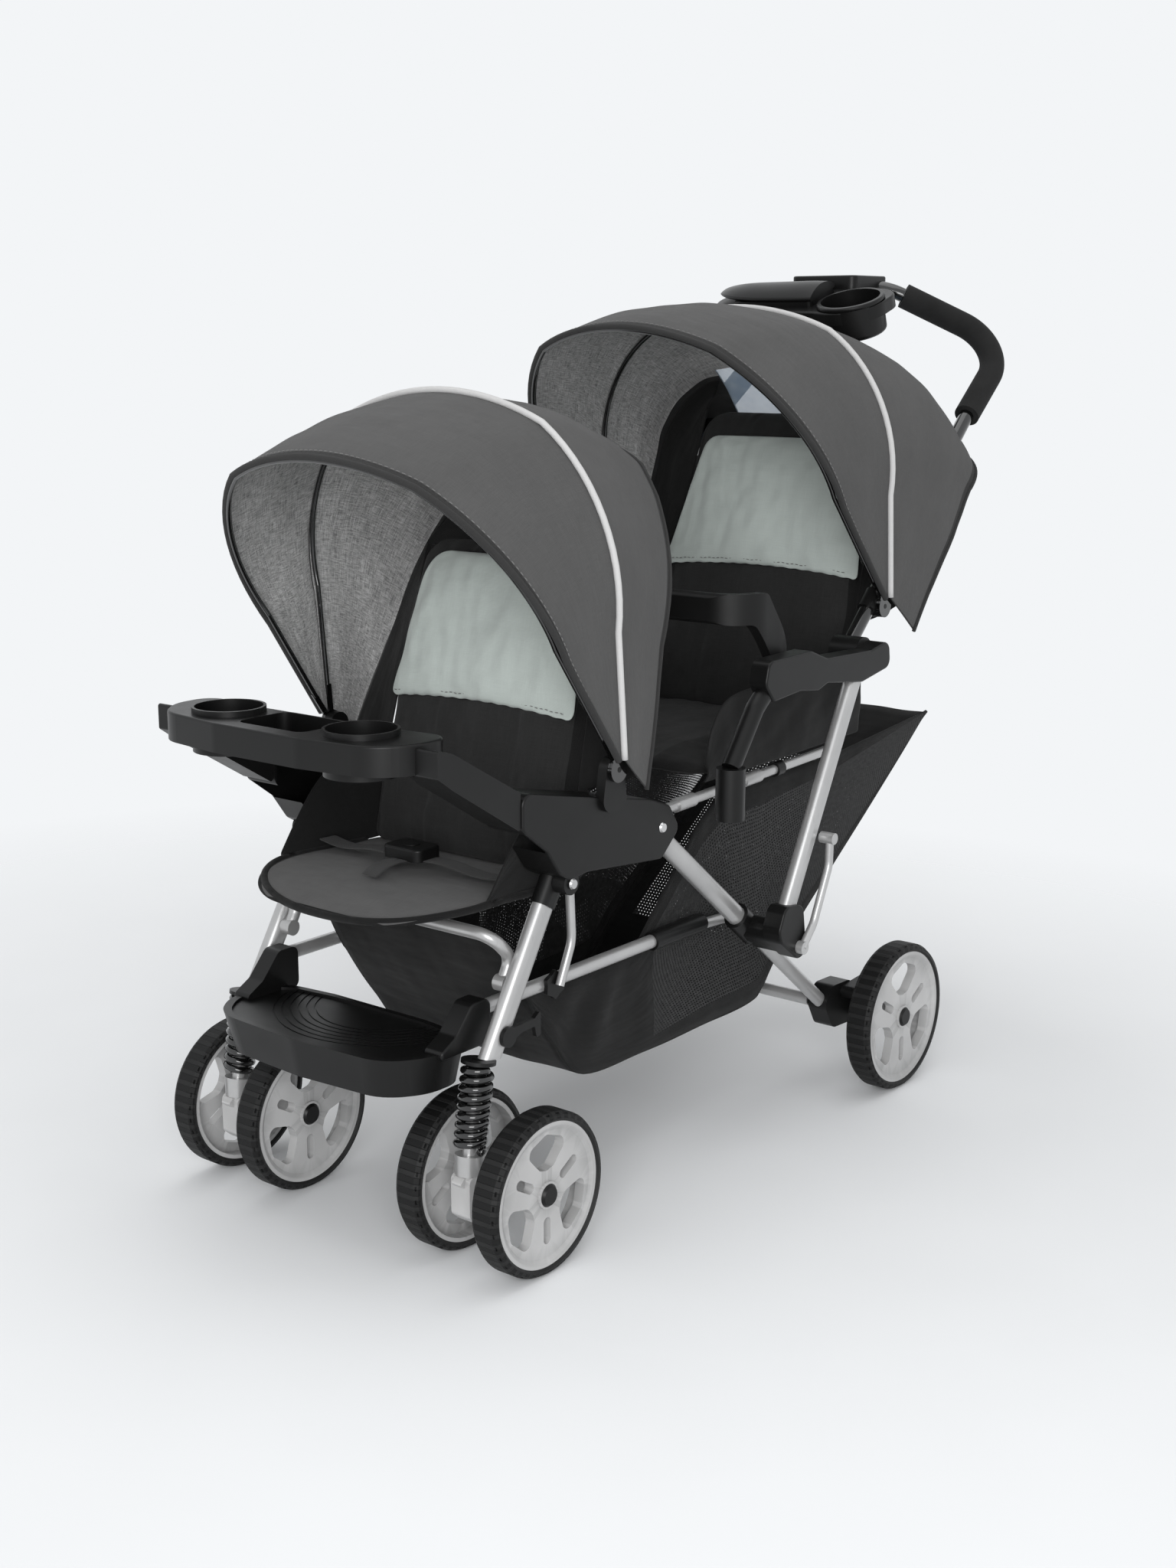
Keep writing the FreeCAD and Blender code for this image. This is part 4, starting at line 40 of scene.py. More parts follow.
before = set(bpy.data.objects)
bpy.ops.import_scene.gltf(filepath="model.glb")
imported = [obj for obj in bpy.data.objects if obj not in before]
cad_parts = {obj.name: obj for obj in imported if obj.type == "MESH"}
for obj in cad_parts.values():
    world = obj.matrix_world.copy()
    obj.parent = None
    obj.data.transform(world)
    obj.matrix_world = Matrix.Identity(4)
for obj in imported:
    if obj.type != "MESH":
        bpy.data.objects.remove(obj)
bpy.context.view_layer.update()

MM = 0.001
LEFT, RIGHT = 1, -1
SIDES = {"left": LEFT, "right": RIGHT}


# Materials


def linear(level):
    """A display level from 0 to 255 as linear light."""
    share = level / 255
    return share / 12.92 if share <= 0.04045 else ((share + 0.055) / 1.055) ** 2.4


def colour(*levels):
    if len(levels) == 1:
        levels = levels * 3
    return (*[linear(level) for level in levels], 1)


class Looks:
    """A material with one principled shader and short ways to add nodes."""

    def __init__(self, name):
        self.material = bpy.data.materials.new(name)
        self.material.use_nodes = True
        self.tree = self.material.node_tree
        self.tree.nodes.clear()
        self.out = self.tree.nodes.new("ShaderNodeOutputMaterial")
        self.shader = self.tree.nodes.new("ShaderNodeBsdfPrincipled")
        self.tree.links.new(self.shader.outputs[0], self.out.inputs[0])

    def add(self, kind, settings=None, **sockets):
        node = self.tree.nodes.new("ShaderNode" + kind)
        for word, value in (settings or {}).items():
            setattr(node, word, value)
        for word, value in sockets.items():
            self.feed(node.inputs[word.replace("_", " ")], value)
        return node

    def feed(self, socket, value):
        if isinstance(value, bpy.types.NodeSocket):
            self.tree.links.new(value, socket)
        else:
            socket.default_value = value

    def set(self, **sockets):
        for word, value in sockets.items():
            self.feed(self.shader.inputs[word.replace("_", " ")], value)

    def place(self, uv, stretch=(1, 1, 1)):
        where = self.add("TexCoord").outputs["UV" if uv else "Object"]
        return self.add("Mapping", Vector=where, Scale=stretch).outputs[0]

    def noise(self, where, scale, detail=3.0, rough=0.55):
        node = self.add("TexNoise", Vector=where, Scale=scale, Detail=detail, Roughness=rough)
        return node.outputs["Fac"]

    def ramp(self, factor, *stops):
        node = self.add("ValToRGB", Fac=factor)
        band = node.color_ramp
        while len(band.elements) < len(stops):
            band.elements.new(0.5)
        for element, (spot, level) in zip(band.elements, stops):
            element.position = spot
            element.color = level if isinstance(level, tuple) else (level, level, level, 1)
        return node.outputs["Color"]

    def mix(self, factor, first, second, way="MIX"):
        node = self.add("Mix", {"data_type": "RGBA", "blend_type": way})
        self.feed(node.inputs["Factor"], factor)
        self.feed(node.inputs[6], first)
        self.feed(node.inputs[7], second)
        return node.outputs[2]

    def maths(self, way, first, second=0.0):
        node = self.add("Math", {"operation": way})
        self.feed(node.inputs[0], first)
        self.feed(node.inputs[1], second)
        return node.outputs[0]

    def wave(self, where, scale, direction, distortion=0.0):
        node = self.add("TexWave", {"wave_type": "BANDS", "bands_direction": direction},
                        Vector=where, Scale=scale, Distortion=distortion)
        return node.outputs["Fac"]

    def finish(self, rough, gloss=None, sheen=None):
        """Sets the constant roughness, and where given the specular level and the sheen."""
        self.shader.inputs["Roughness"].default_value = rough
        if gloss is not None:
            self.shader.inputs["Specular IOR Level"].default_value = gloss
        if sheen is not None:
            self.shader.inputs["Sheen Weight"].default_value = sheen

    def bump(self, height, strength, distance):
        node = self.add("Bump", Height=height, Strength=strength, Distance=distance)
        self.set(Normal=node.outputs[0])


def moulded(name, level, rough, grain=0.12, gloss=0.5, wear=0.25):
    """Moulded plastic: a fine grain, slow changes of tone and edges rubbed a little paler."""
    m = Looks(name)
    where = m.place(False)
    tone = m.ramp(m.noise(where, 9, 2), (0.3, colour(level * 0.86)), (0.7, colour(level * 1.12)))
    edge = m.add("NewGeometry").outputs["Pointiness"]
    rubbed = m.ramp(edge, (0.5, 0.0), (0.58, 1.0))
    m.set(Base_Color=m.mix(m.maths("MULTIPLY", rubbed, wear), tone, colour(level * 1.7 + 14)))
    patchy = m.add("MapRange", Value=m.noise(where, 26, 4), To_Min=rough - 0.07, To_Max=rough + 0.1)
    m.set(Roughness=patchy.outputs[0])
    m.shader.inputs["Specular IOR Level"].default_value = gloss
    m.bump(m.noise(where, 1400, 2), grain, 0.0003)
    return m.material


def painted(name, level, metallic, rough, coat=0.0):
    """Painted or plated metal: faint orange peel, slow tone and small scuffs."""
    m = Looks(name)
    where = m.place(False)
    tone = m.ramp(m.noise(where, 14, 3), (0.35, colour(level * 0.95)), (0.7, colour(level * 1.03)))
    scuffs = m.ramp(m.noise(m.place(False, (30, 30, 4)), 9, 6), (0.62, 0.0), (0.72, 1.0))
    m.set(Base_Color=m.mix(m.maths("MULTIPLY", scuffs, 0.16), tone, colour(level * 0.7)))
    patchy = m.add("MapRange", Value=m.noise(where, 60, 4), To_Min=rough - 0.05, To_Max=rough + 0.08)
    m.set(Roughness=patchy.outputs[0])
    m.shader.inputs["Metallic"].default_value = metallic
    m.shader.inputs["Coat Weight"].default_value = coat
    m.bump(m.noise(where, 420, 2), 0.05, 0.0004)
    return m.material


def rubber(name, level, rough, scale, depth):
    """Rubber or foam: a matt, slightly pitted skin."""
    m = Looks(name)
    where = m.place(False)
    tone = m.ramp(m.noise(where, 30, 5), (0.3, colour(level * 0.8)), (0.75, colour(level * 1.3)))
    dusty = m.ramp(m.noise(where, 6, 2), (0.45, 0.0), (0.8, 1.0))
    m.set(Base_Color=m.mix(m.maths("MULTIPLY", dusty, 0.25), tone, colour(level * 1.6 + 8)))
    m.finish(rough, 0.35)
    m.bump(m.noise(where, scale, 3), 0.4, depth)
    return m.material


def tread(name, axle, radius, count):
    """Tyre rubber with fine notches around its edge, painted near black inside as painted shade;
    axle is the wheel's middle from the side.
    """
    m = Looks(name)
    where = m.place(False)
    parts = m.add("SeparateXYZ", Vector=where).outputs
    ahead = m.maths("SUBTRACT", parts[1], axle[0] * MM)
    above = m.maths("SUBTRACT", parts[2], axle[1] * MM)
    turn = m.maths("MULTIPLY", m.maths("ARCTAN2", above, ahead), count)
    notch = m.ramp(m.maths("SINE", turn), (0.0, 0.0), (0.35, 1.0))
    square = m.maths("ADD", m.maths("POWER", ahead, 2.0), m.maths("POWER", above, 2.0))
    reach = m.maths("DIVIDE", m.maths("SQRT", square), radius * MM)
    rim = m.ramp(reach, (0.925, 0.0), (0.94, 1.0))
    notch_depth_and_shade = m.maths("MULTIPLY", rim, m.maths("SUBTRACT", 1.0, notch))
    tone = m.ramp(m.noise(where, 30, 5), (0.3, colour(20)), (0.75, colour(32)))
    # The notches are painted near black: painted shade in the recesses. The same mask also sets
    # their bump.
    m.set(Base_Color=m.mix(notch_depth_and_shade, tone, colour(6)))
    m.finish(0.62, 0.3)
    height = m.maths("SUBTRACT", m.maths("MULTIPLY", m.noise(where, 500, 3), 0.1), notch_depth_and_shade)
    m.bump(height, 0.8, 0.003)
    return m.material


def woven(name, low, high, pitch=0.0016, streak=0.35, sheen=0.25, bump=0.5, tint=(1, 1, 1),
          folds=0):
    """Plain weave by UV in metres: threads, slubs both ways, slow cloudy tone and soft folds."""
    m = Looks(name)
    where = m.place(True)
    turns = 1 / pitch / 6.2832 * math.pi  # a band texture repeats 2 pi times per unit
    warp, weft = m.wave(where, turns, "X", 0.4), m.wave(where, turns, "Y", 0.4)
    weave = m.maths("MULTIPLY", warp, weft)
    slub_u = m.noise(m.place(True, (40, 900, 1)), 1, 2)
    slub_v = m.noise(m.place(True, (900, 40, 1)), 1, 2)
    slubs = m.maths("MULTIPLY", m.maths("ADD", slub_u, slub_v), 0.5)
    cloud = m.noise(where, 7, 3)
    blend = m.maths("ADD", m.maths("MULTIPLY", slubs, streak * 2), m.maths("MULTIPLY", weave, 0.22))
    blend = m.maths("ADD", blend, m.maths("MULTIPLY", cloud, 0.3))
    dark, light = [colour(*[level * part for part in tint]) for level in (low, high)]
    m.set(Base_Color=m.ramp(blend, (0.2, dark), (0.75, light)))
    m.finish(0.88, 0.25, sheen)
    height = m.maths("ADD", weave, m.maths("MULTIPLY", slubs, 0.8))
    slack = m.noise(m.place(True, (13, 7, 1)), 1, 2, 0.4)
    crease = m.noise(m.place(True, (9, 26, 1)), 1, 2, 0.5)
    both = m.maths("ADD", slack, m.maths("MULTIPLY", crease, 0.5))
    m.bump(m.maths("ADD", height, m.maths("MULTIPLY", both, folds / bump)), bump, 0.0005)
    return m.material


def heather(name, low, high):
    """Heathered lining by UV in metres: pale and dark slubs crossing each other both ways."""
    m = Looks(name)
    sets = []
    for stretch in ((45, 620, 1), (620, 45, 1), (120, 1700, 1), (1700, 120, 1)):
        sets.append(m.ramp(m.noise(m.place(True, stretch), 1, 3, 0.7), (0.38, 0.0), (0.62, 1.0)))
    first = m.maths("ADD", m.maths("MULTIPLY", sets[0], 0.3), m.maths("MULTIPLY", sets[1], 0.3))
    second = m.maths("ADD", m.maths("MULTIPLY", sets[2], 0.2), m.maths("MULTIPLY", sets[3], 0.2))
    blend = m.maths("ADD", first, second)
    cloud = m.ramp(m.noise(m.place(True), 12, 3), (0.3, 0.84), (0.7, 1.0))
    tone = m.ramp(blend, (0.15, colour(low)), (0.85, colour(high)))
    m.set(Base_Color=m.mix(1.0, tone, cloud, "MULTIPLY"))
    m.finish(0.92, 0.15)
    folds = m.noise(m.place(True, (14, 9, 1)), 1, 3)
    m.bump(m.maths("ADD", m.maths("MULTIPLY", blend, 0.08), folds), 0.8, 0.012)
    return m.material


def webbing_looks(name, level):
    """Webbing by UV: ribs across the strap and fine threads along it."""
    m = Looks(name)
    where = m.place(True)
    ribs = m.wave(where, 420, "Y")
    threads = m.wave(where, 900, "X")
    mixed = m.maths("ADD", m.maths("MULTIPLY", ribs, 0.7), m.maths("MULTIPLY", threads, 0.3))
    m.set(Base_Color=m.ramp(mixed, (0.1, colour(level * 0.6)), (0.9, colour(level * 1.4))))
    m.finish(0.7, sheen=0.15)
    m.bump(mixed, 0.6, 0.0006)
    return m.material


def net_looks(name, level, pitch, open_share):
    """Net by UV in metres: round holes in a staggered knit, seen through."""
    m = Looks(name)
    where = m.place(True, (1 / pitch, 1 / pitch, 1))
    cells = m.add("TexVoronoi", {"feature": "DISTANCE_TO_EDGE"}, Vector=where, Scale=1.0,
                  Randomness=0.12)
    holes = m.maths("GREATER_THAN", cells.outputs["Distance"], open_share)
    m.set(Alpha=m.maths("SUBTRACT", 1.0, holes))
    m.set(Base_Color=m.ramp(m.noise(where, 0.6, 4), (0.3, colour(level * 0.7)),
                            (0.7, colour(level * 1.4))))
    m.finish(0.75)
    return m.material


def window_looks(name):
    """Clear soft plastic film, faintly blue, with slow ripples."""
    m = Looks(name)
    where = m.place(True)
    m.set(Base_Color=m.ramp(m.noise(where, 20, 2), (0.3, colour(150, 178, 205)),
                            (0.7, colour(196, 214, 230))))
    m.finish(0.12)
    m.shader.inputs["Alpha"].default_value = 0.5
    m.bump(m.noise(where, 14, 3), 0.3, 0.004)
    return m.material


LOOKS = {
    "black": moulded("satin_black", 15, 0.36, gloss=0.26, wear=0.08),
    "black_soft": moulded("soft_black", 15, 0.42, grain=0.2, gloss=0.24, wear=0.06),
    "pale": moulded("pale_plastic", 176, 0.35, grain=0.08, wear=0.1),
    "rim_grey": moulded("rim_plastic", 158, 0.36, grain=0.1, wear=0.15),
    "steel": painted("silver_tube", 186, 0.55, 0.3),
    "dark_tube": painted("gloss_black", 12, 0.0, 0.12, 0.8),
    "bolt": painted("zinc", 200, 0.9, 0.28),
    "front_tyre": tread("front_tyre_rubber", (-435, 89), 89, 44),
    "rear_tyre": tread("rear_tyre_rubber", (263, 96), 96, 46),
    "foam": rubber("grip_foam", 24, 0.92, 900, 0.0008),
    "hood": woven("hood_cloth", 70, 94, streak=0.3, sheen=0.06, folds=26),
    "hood_edge": woven("hood_binding", 44, 62, pitch=0.001, streak=0.2, sheen=0.05),
    "lining": heather("hood_lining", 116, 232),
    "cloth_black": woven("black_cloth", 9, 26, streak=0.3, sheen=0.06, folds=26),
    "seat_grey": woven("seat_cloth", 84, 110, streak=0.35, sheen=0.08, folds=22),
    "panel_grey": woven("back_panel_cloth", 26, 46, streak=0.35, sheen=0.06, folds=24),
    "headrest": woven("pale_cloth", 186, 210, streak=0.25, tint=(0.975, 1.02, 0.998),
                      folds=17),
    "piping": woven("white_piping", 205, 232, pitch=0.001, streak=0.15, sheen=0.1),
    "webbing": webbing_looks("black_webbing", 26),
    "net": net_looks("black_net", 36, 0.0048, 0.25),
    "window": window_looks("clear_window"),
    "thread": woven("thread", 96, 130, pitch=0.0008),
}

NODE_LOOKS = {
    "front_tyre": "front_tyre", "rear_tyre": "rear_tyre", "rim": "rim_grey",
    "front_axle": "black", "swivel_collar": "steel", "fork": "pale", "front_legs": "steel",
    "front_armrests": "black", "frame_bolts": "bolt", "seat_rails": "steel",
    "side_rails": "steel", "frame_sleeves": "black", "rear_legs": "steel",
    "fold_clamps": "black", "rear_hubs": "black", "brake_lever": "black_soft",
    "rear_axles": "black", "handle_posts": "steel", "post_shoes": "black",
    "rear_armrests": "black", "struts": "black", "handle_bar": "dark_tube",
    "handle_grips": "foam", "console": "black", "grab_bar": "black_soft", "footrest": "black",
    "child_tray": "black", "hood_bow": "dark_tube", "visor_bow": "dark_tube",
    "buckle": "black", "buckle_button": "black_soft", "storage_latch": "black",
}


def dress_nodes():
    """Gives each carried node the material that its name asks for."""
    for name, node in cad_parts.items():
        found = [key for key in NODE_LOOKS if key in name]
        if found:
            node.data.materials.clear()
            node.data.materials.append(LOOKS[NODE_LOOKS[max(found, key=len)]])


# Meshes

TUBE_RING, STRIP_COLUMNS, THREAD_RING = 10, 5, 6


def new_object(name, mesh, *looks):
    piece = bpy.data.objects.new(name, mesh)
    bpy.context.scene.collection.objects.link(piece)
    for word in looks:
        mesh.materials.append(LOOKS[word])
    return piece


def new_mesh(name, verts, faces):
    mesh = bpy.data.meshes.new(name)
    mesh.from_pydata(verts, [], faces)
    for polygon in mesh.polygons:
        polygon.use_smooth = True
    return mesh


def lengths_along(points):
    total, out = 0.0, [0.0]
    for a, b in zip(points, points[1:]):
        total += (b - a).length
        out.append(total)
    return out


def surface(name, rows, looks, closed=False, pick=None):
    """A smooth mesh through rows of points in metres, with UV in metres and a material per face.

    A closed one is a tube, whose two ends are capped.
    """
    count = len(rows[0])
    verts = [point for row in rows for point in row]
    run = count if closed else count - 1
    faces, where = [], []
    for i in range(len(rows) - 1):
        for j in range(run):
            k = (j + 1) % count
            faces.append((i * count + j, i * count + k, (i + 1) * count + k, (i + 1) * count + j))
            where.append((i, j))
    if closed:
        faces.append(tuple(range(count - 1, -1, -1)))
        faces.append(tuple((len(rows) - 1) * count + j for j in range(count)))
        where += [(0, 0), (len(rows) - 2, 0)]
    mesh = new_mesh(name, verts, faces)
    across = [lengths_along(row + row[:1] if closed else row) for row in rows]
    down = lengths_along([row[count // 2] for row in rows])
    uv = mesh.uv_layers.new(name="UVMap")
    for polygon, (i, j) in zip(mesh.polygons, where):
        if pick:
            polygon.material_index = pick(i, j)
        for corner in polygon.loop_indices:
            index = mesh.loops[corner].vertex_index
            row, column = divmod(index, count)
            if closed and column == 0 and j == count - 1:
                column = count
            uv.data[corner].uv = (across[row][column], down[row])
    mesh.validate()
    return new_object(name, mesh, *looks)


def thicken(piece, thickness, inner=0, smooth=True, rim=None):
    """Gives a sheet its thickness, with the lining's material inside, and smooths it."""
    solid = piece.modifiers.new("thickness", "SOLIDIFY")
    solid.thickness = thickness
    solid.offset = -1
    solid.material_offset = inner
    solid.material_offset_rim = inner if rim is None else rim
    return soften(piece) if smooth else piece


def soften(piece):
    soft = piece.modifiers.new("smooth", "SUBSURF")
    soft.levels = soft.render_levels = 1
    return piece


def around(points):
    """The way ahead at each point of a line."""
    last = len(points) - 1
    return [(points[min(i + 1, last)] - points[max(i - 1, 0)]).normalized()
            for i in range(last + 1)]


def ring_of(centre, side, up, radius, count):
    return [centre + (side * math.cos(t) + up * math.sin(t)) * radius
            for t in [math.tau * k / count for k in range(count)]]


def tube(name, points, radius, looks):
    """A smooth round cord of cloth or metal along points, as a mesh."""
    rows = []
    side = None
    for point, way in zip(points, around(points)):
        if side is None:
            side = way.orthogonal().normalized()
        side = (side - way * side.dot(way)).normalized()
        rows.append(ring_of(point, side, way.cross(side), radius, TUBE_RING))
    return surface(name, rows, [looks], closed=True)


def strip(name, points, normal, width, looks):
    """A flat strap of webbing along points, its face turned to the normal."""
    rows = []
    for point, way in zip(points, around(points)):
        side = way.cross(normal).normalized()
        rows.append([point + side * width * (k / (STRIP_COLUMNS - 1) - 0.5)
                     for k in range(STRIP_COLUMNS)])
    return thicken(surface(name, rows, [looks]), 0.0018)


def stitches(name, points):
    """One line of thread: short rounded dashes along points."""
    length, gap, radius = 0.0045, 0.0025, 0.00055
    spots = lengths_along(points)
    total, at, verts, faces = spots[-1], 0.0, [], []

    def along(distance):
        for i in range(len(spots) - 1):
            if spots[i + 1] >= distance:
                share = (distance - spots[i]) / max(spots[i + 1] - spots[i], 1e-9)
                return points[i].lerp(points[i + 1], share)
        return points[-1]

    while at + length < total:
        ends = [along(at), along(at + length)]
        way = (ends[1] - ends[0]).normalized()
        side = way.orthogonal().normalized()
        up = way.cross(side)
        base = len(verts)
        for share, size in ((0, 0.4), (0.25, 1), (0.75, 1), (1, 0.4)):
            centre = ends[0].lerp(ends[1], share)
            verts += ring_of(centre, side, up, radius * size, THREAD_RING)
        for low in range(base, base + 3 * THREAD_RING, THREAD_RING):
            for k in range(THREAD_RING):
                n = (k + 1) % THREAD_RING
                faces.append((low + k, low + n, low + THREAD_RING + n, low + THREAD_RING + k))
        faces.append(tuple(base + k for k in reversed(range(THREAD_RING))))
        faces.append(tuple(base + 3 * THREAD_RING + k for k in range(THREAD_RING)))
        at += length + gap
    return new_object(name, new_mesh(name, verts, faces), "thread")


def ruffle(point, scale, seed):
    """Smooth noise from -1 to 1 at a point."""
    return noise.noise(Vector((point.x * scale + seed, point.y * scale, point.z * scale - seed)))


def declare(piece, rows):
    """States a cloth piece's flat cut, measured along its rows and columns."""
    width = max(lengths_along(row)[-1] for row in rows)
    columns = list(zip(*rows))
    length = max(lengths_along(list(column))[-1] for column in columns)
    area = 0.0
    for one, two in zip(rows, rows[1:]):
        for j in range(len(one) - 1):
            a, b, c, d = one[j], one[j + 1], two[j + 1], two[j]
            area += ((b - a).cross(d - a).length + (b - c).cross(d - c).length) / 2
    width, length = round(width, 3), round(length, 3)
    area = min(max(round(area, 4), round(0.301 * width * length, 5)), width * length)
    print("sheet", piece.name, width, length, area)


# Canopies

HOOD_HALF_WIDTH, HOOD_FOOT, HOOD_SAG = 225, 13, 7
HOOD_ROWS, VISOR_ROWS, TOP_POINT = 22, 20, 40
CLOTH, ROLL, ABOVE_CLOTH = 0.0022, 0.0036, 0.0012

# Angle from upright, height, squareness of the corners and taper towards the top of each hem
CANOPIES = {
    "front": {"hinge": (-283, 512), "visor": (35, 405, 0, 0.06), "middle": (5, 392, 0, 0),
              "hem": (-31, 388, 0.1, 0.3), "hem_foot": (-243, 485)},
    "rear": {"hinge": (262, 628), "visor": (39, 442, 0, 0.08), "middle": (4, 366, 0, 0),
             "hem": (-55, 314, 1, 0.04), "hem_foot": (326, 590)},
}


def out_from(hinge, angle, reach):
    """The point in the side view at a distance from a hinge, at an angle from upright."""
    lean = math.radians(angle)
    return hinge[0] - reach * math.sin(lean), hinge[1] + reach * math.cos(lean)


def arc(start, middle, end, count):
    """Points on the circle through three points, without the last one."""
    a, b = middle - start, end - start
    normal = a.cross(b)
    if normal.length < 1e-9:
        return [start.lerp(end, k / count) for k in range(count)]
    centre = start + (normal.cross(a) * b.length_squared + b.cross(normal) * a.length_squared) \
        / (2 * normal.length_squared)
    radius = start - centre
    axis = normal.normalized()
    other = axis.cross(radius)
    last = end - centre
    turn = math.atan2(last.dot(other) / radius.length_squared,
                      last.dot(radius) / radius.length_squared) % math.tau
    return [centre + radius * math.cos(turn * k / count) + other * math.sin(turn * k / count)
            for k in range(count)]


def hoop(foot, top, width, square, taper):
    """The line of a canopy's section from its left foot over the top to its right foot."""
    round_shares = ((1, 0.36), (0.9, 0.73), (0.62, 0.92))
    square_shares = ((1, 0.78), (0.965, 0.92), (0.84, 0.978))

    def spot(across, share):
        return Vector((across * (1 - taper * share), foot[0] + (top[0] - foot[0]) * share,
                       foot[1] + (top[1] - foot[1]) * share)) * MM

    corners = [(a + (c - a) * square, b + (d - b) * square)
               for (a, b), (c, d) in zip(round_shares, square_shares)]
    side = [spot(width, 0)] + [spot(width * a, b) for a, b in corners]
    other = [Vector((-p.x, p.y, p.z)) for p in side]
    line = [side[0].lerp(side[1], k / 12) for k in range(12)]
    line += arc(side[1], side[2], side[3], 14)
    line += arc(side[3], spot(0, 1), other[3], 20)
    line += arc(other[3], other[2], other[1], 14)
    return line + [other[1].lerp(other[0], k / 12) for k in range(13)]


def section(name, first, last, share, inset=1.0):
    """The canopy's section part of the way from one hem to another."""
    data = CANOPIES[name]

    def hem(word):
        angle, height, square, taper = data[word]
        if word == "hem":
            foot = data["hem_foot"]
        else:
            foot = out_from(data["hinge"], angle, HOOD_FOOT)
        return (*foot, angle, height, square, taper)

    y, z, angle, height, square, taper = [a + (b - a) * share
                                          for a, b in zip(hem(first), hem(last))]
    height -= HOOD_SAG * math.sin(math.pi * share) + inset
    return hoop((y, z), out_from(data["hinge"], angle, height), HOOD_HALF_WIDTH - inset, square,
                taper)


def taut(rows, amount, scale, seed, edge=0.0):
    """Soft creases: each point moves in and out across the cloth, least along the bows."""
    out = []
    count = len(rows)
    for i, row in enumerate(rows):
        share = i / (count - 1)
        free = math.sin(math.pi * share) + edge * share
        middle = sum(row, Vector()) / len(row)
        line = []
        for point in row:
            outward = (point - middle).normalized()
            low = max(0.0, 1 - (point.z - row[0].z) / 0.22)
            crease = ruffle(Vector((point.x, point.y, point.z * 0.45)), scale, seed)
            fine = ruffle(point, scale * 2.7, seed + 4)
            line.append(point + outward * amount * free * (crease * (0.6 + low) + 0.35 * fine))
        out.append(line)
    return out


def offset_line(line, distance):
    """A hoop's line moved outward in its own plane."""
    middle = sum(line, Vector()) / len(line)
    return [point + (point - middle).normalized() * distance for point in line]


def make_canopy(name, base, flap):
    """Hood and visor cloth with lining, piping over the middle bow and a stitched binding."""
    rear = name == "rear"
    rows = [section(name, "middle", "hem", k / HOOD_ROWS) for k in range(HOOD_ROWS + 1)]
    rows = taut(rows, 0.0062, 13, 8.0 if rear else 3.0, edge=0.5)
    visor_rows = [section(name, "middle", "visor", k / VISOR_ROWS) for k in range(VISOR_ROWS + 1)]
    visor_rows = taut(visor_rows, 0.0058, 12, 1.5 if rear else 5.0)

    def hood_pick(i, j):
        if i >= HOOD_ROWS - 1:
            return 2
        if rear and 11 <= i <= 18 and 27 <= j <= 44:
            return 6
        return 3 if rear and i >= 12 else 0

    hood = surface(name + "_hood_cloth", [row[::-1] for row in rows],
                   ["hood", "lining", "hood_edge", "hood", "cloth_black", "hood_edge", "window",
                    "window"], pick=hood_pick)
    visor = surface(name + "_visor_cloth", visor_rows, ["hood", "lining", "hood_edge"],
                    pick=lambda i, j: 2 if i >= VISOR_ROWS - 1 else 0)
    for piece in (hood, visor):
        thicken(piece, CLOTH, inner=1, rim=2)
    piping = tube(name + "_piping",
                  offset_line(section(name, "middle", "hem", 0, 0), ABOVE_CLOTH), ROLL, "piping")
    roll = tube(name + "_visor_binding",
                offset_line(section(name, "middle", "visor", 1, 1), -0.0008), ROLL, "hood_edge")
    hem_roll = tube(name + "_hem_binding", rows[-1], 0.0026, "hood_edge")
    thread = [stitches(f"{name}_visor_stitch_{n}", offset_line(visor_rows[row], ABOVE_CLOTH))
              for n, row in ((1, VISOR_ROWS - 1), (2, VISOR_ROWS))]
    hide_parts(name + "_hood")
    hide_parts(name + "_visor")
    declare(hood, rows)
    declare(visor, visor_rows)
    front_way, middle_way, back_way = [Vector((0, line[TOP_POINT].y, line[TOP_POINT].z))
                                       for line in (visor_rows[-1], rows[0], rows[-1])]
    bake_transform(visor)
    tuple(middle_way)
    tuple(front_way)
    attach(piping, base)
    for piece in [roll] + thread:
        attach(piece, flap)
    if rear:
        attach(hood, base)
        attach(hem_roll, base)
    else:
        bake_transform(hood)
        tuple(back_way)
        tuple(middle_way)
        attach(hem_roll, "front_frame")


# Padded pieces


GROOVE_DEPTH, GROOVE_WIDTH, ROUNDNESS = 3.0, 3.2, 2.2


def crown(value, power):
    return max(0.0, 1 - abs(value) ** power) ** 0.5


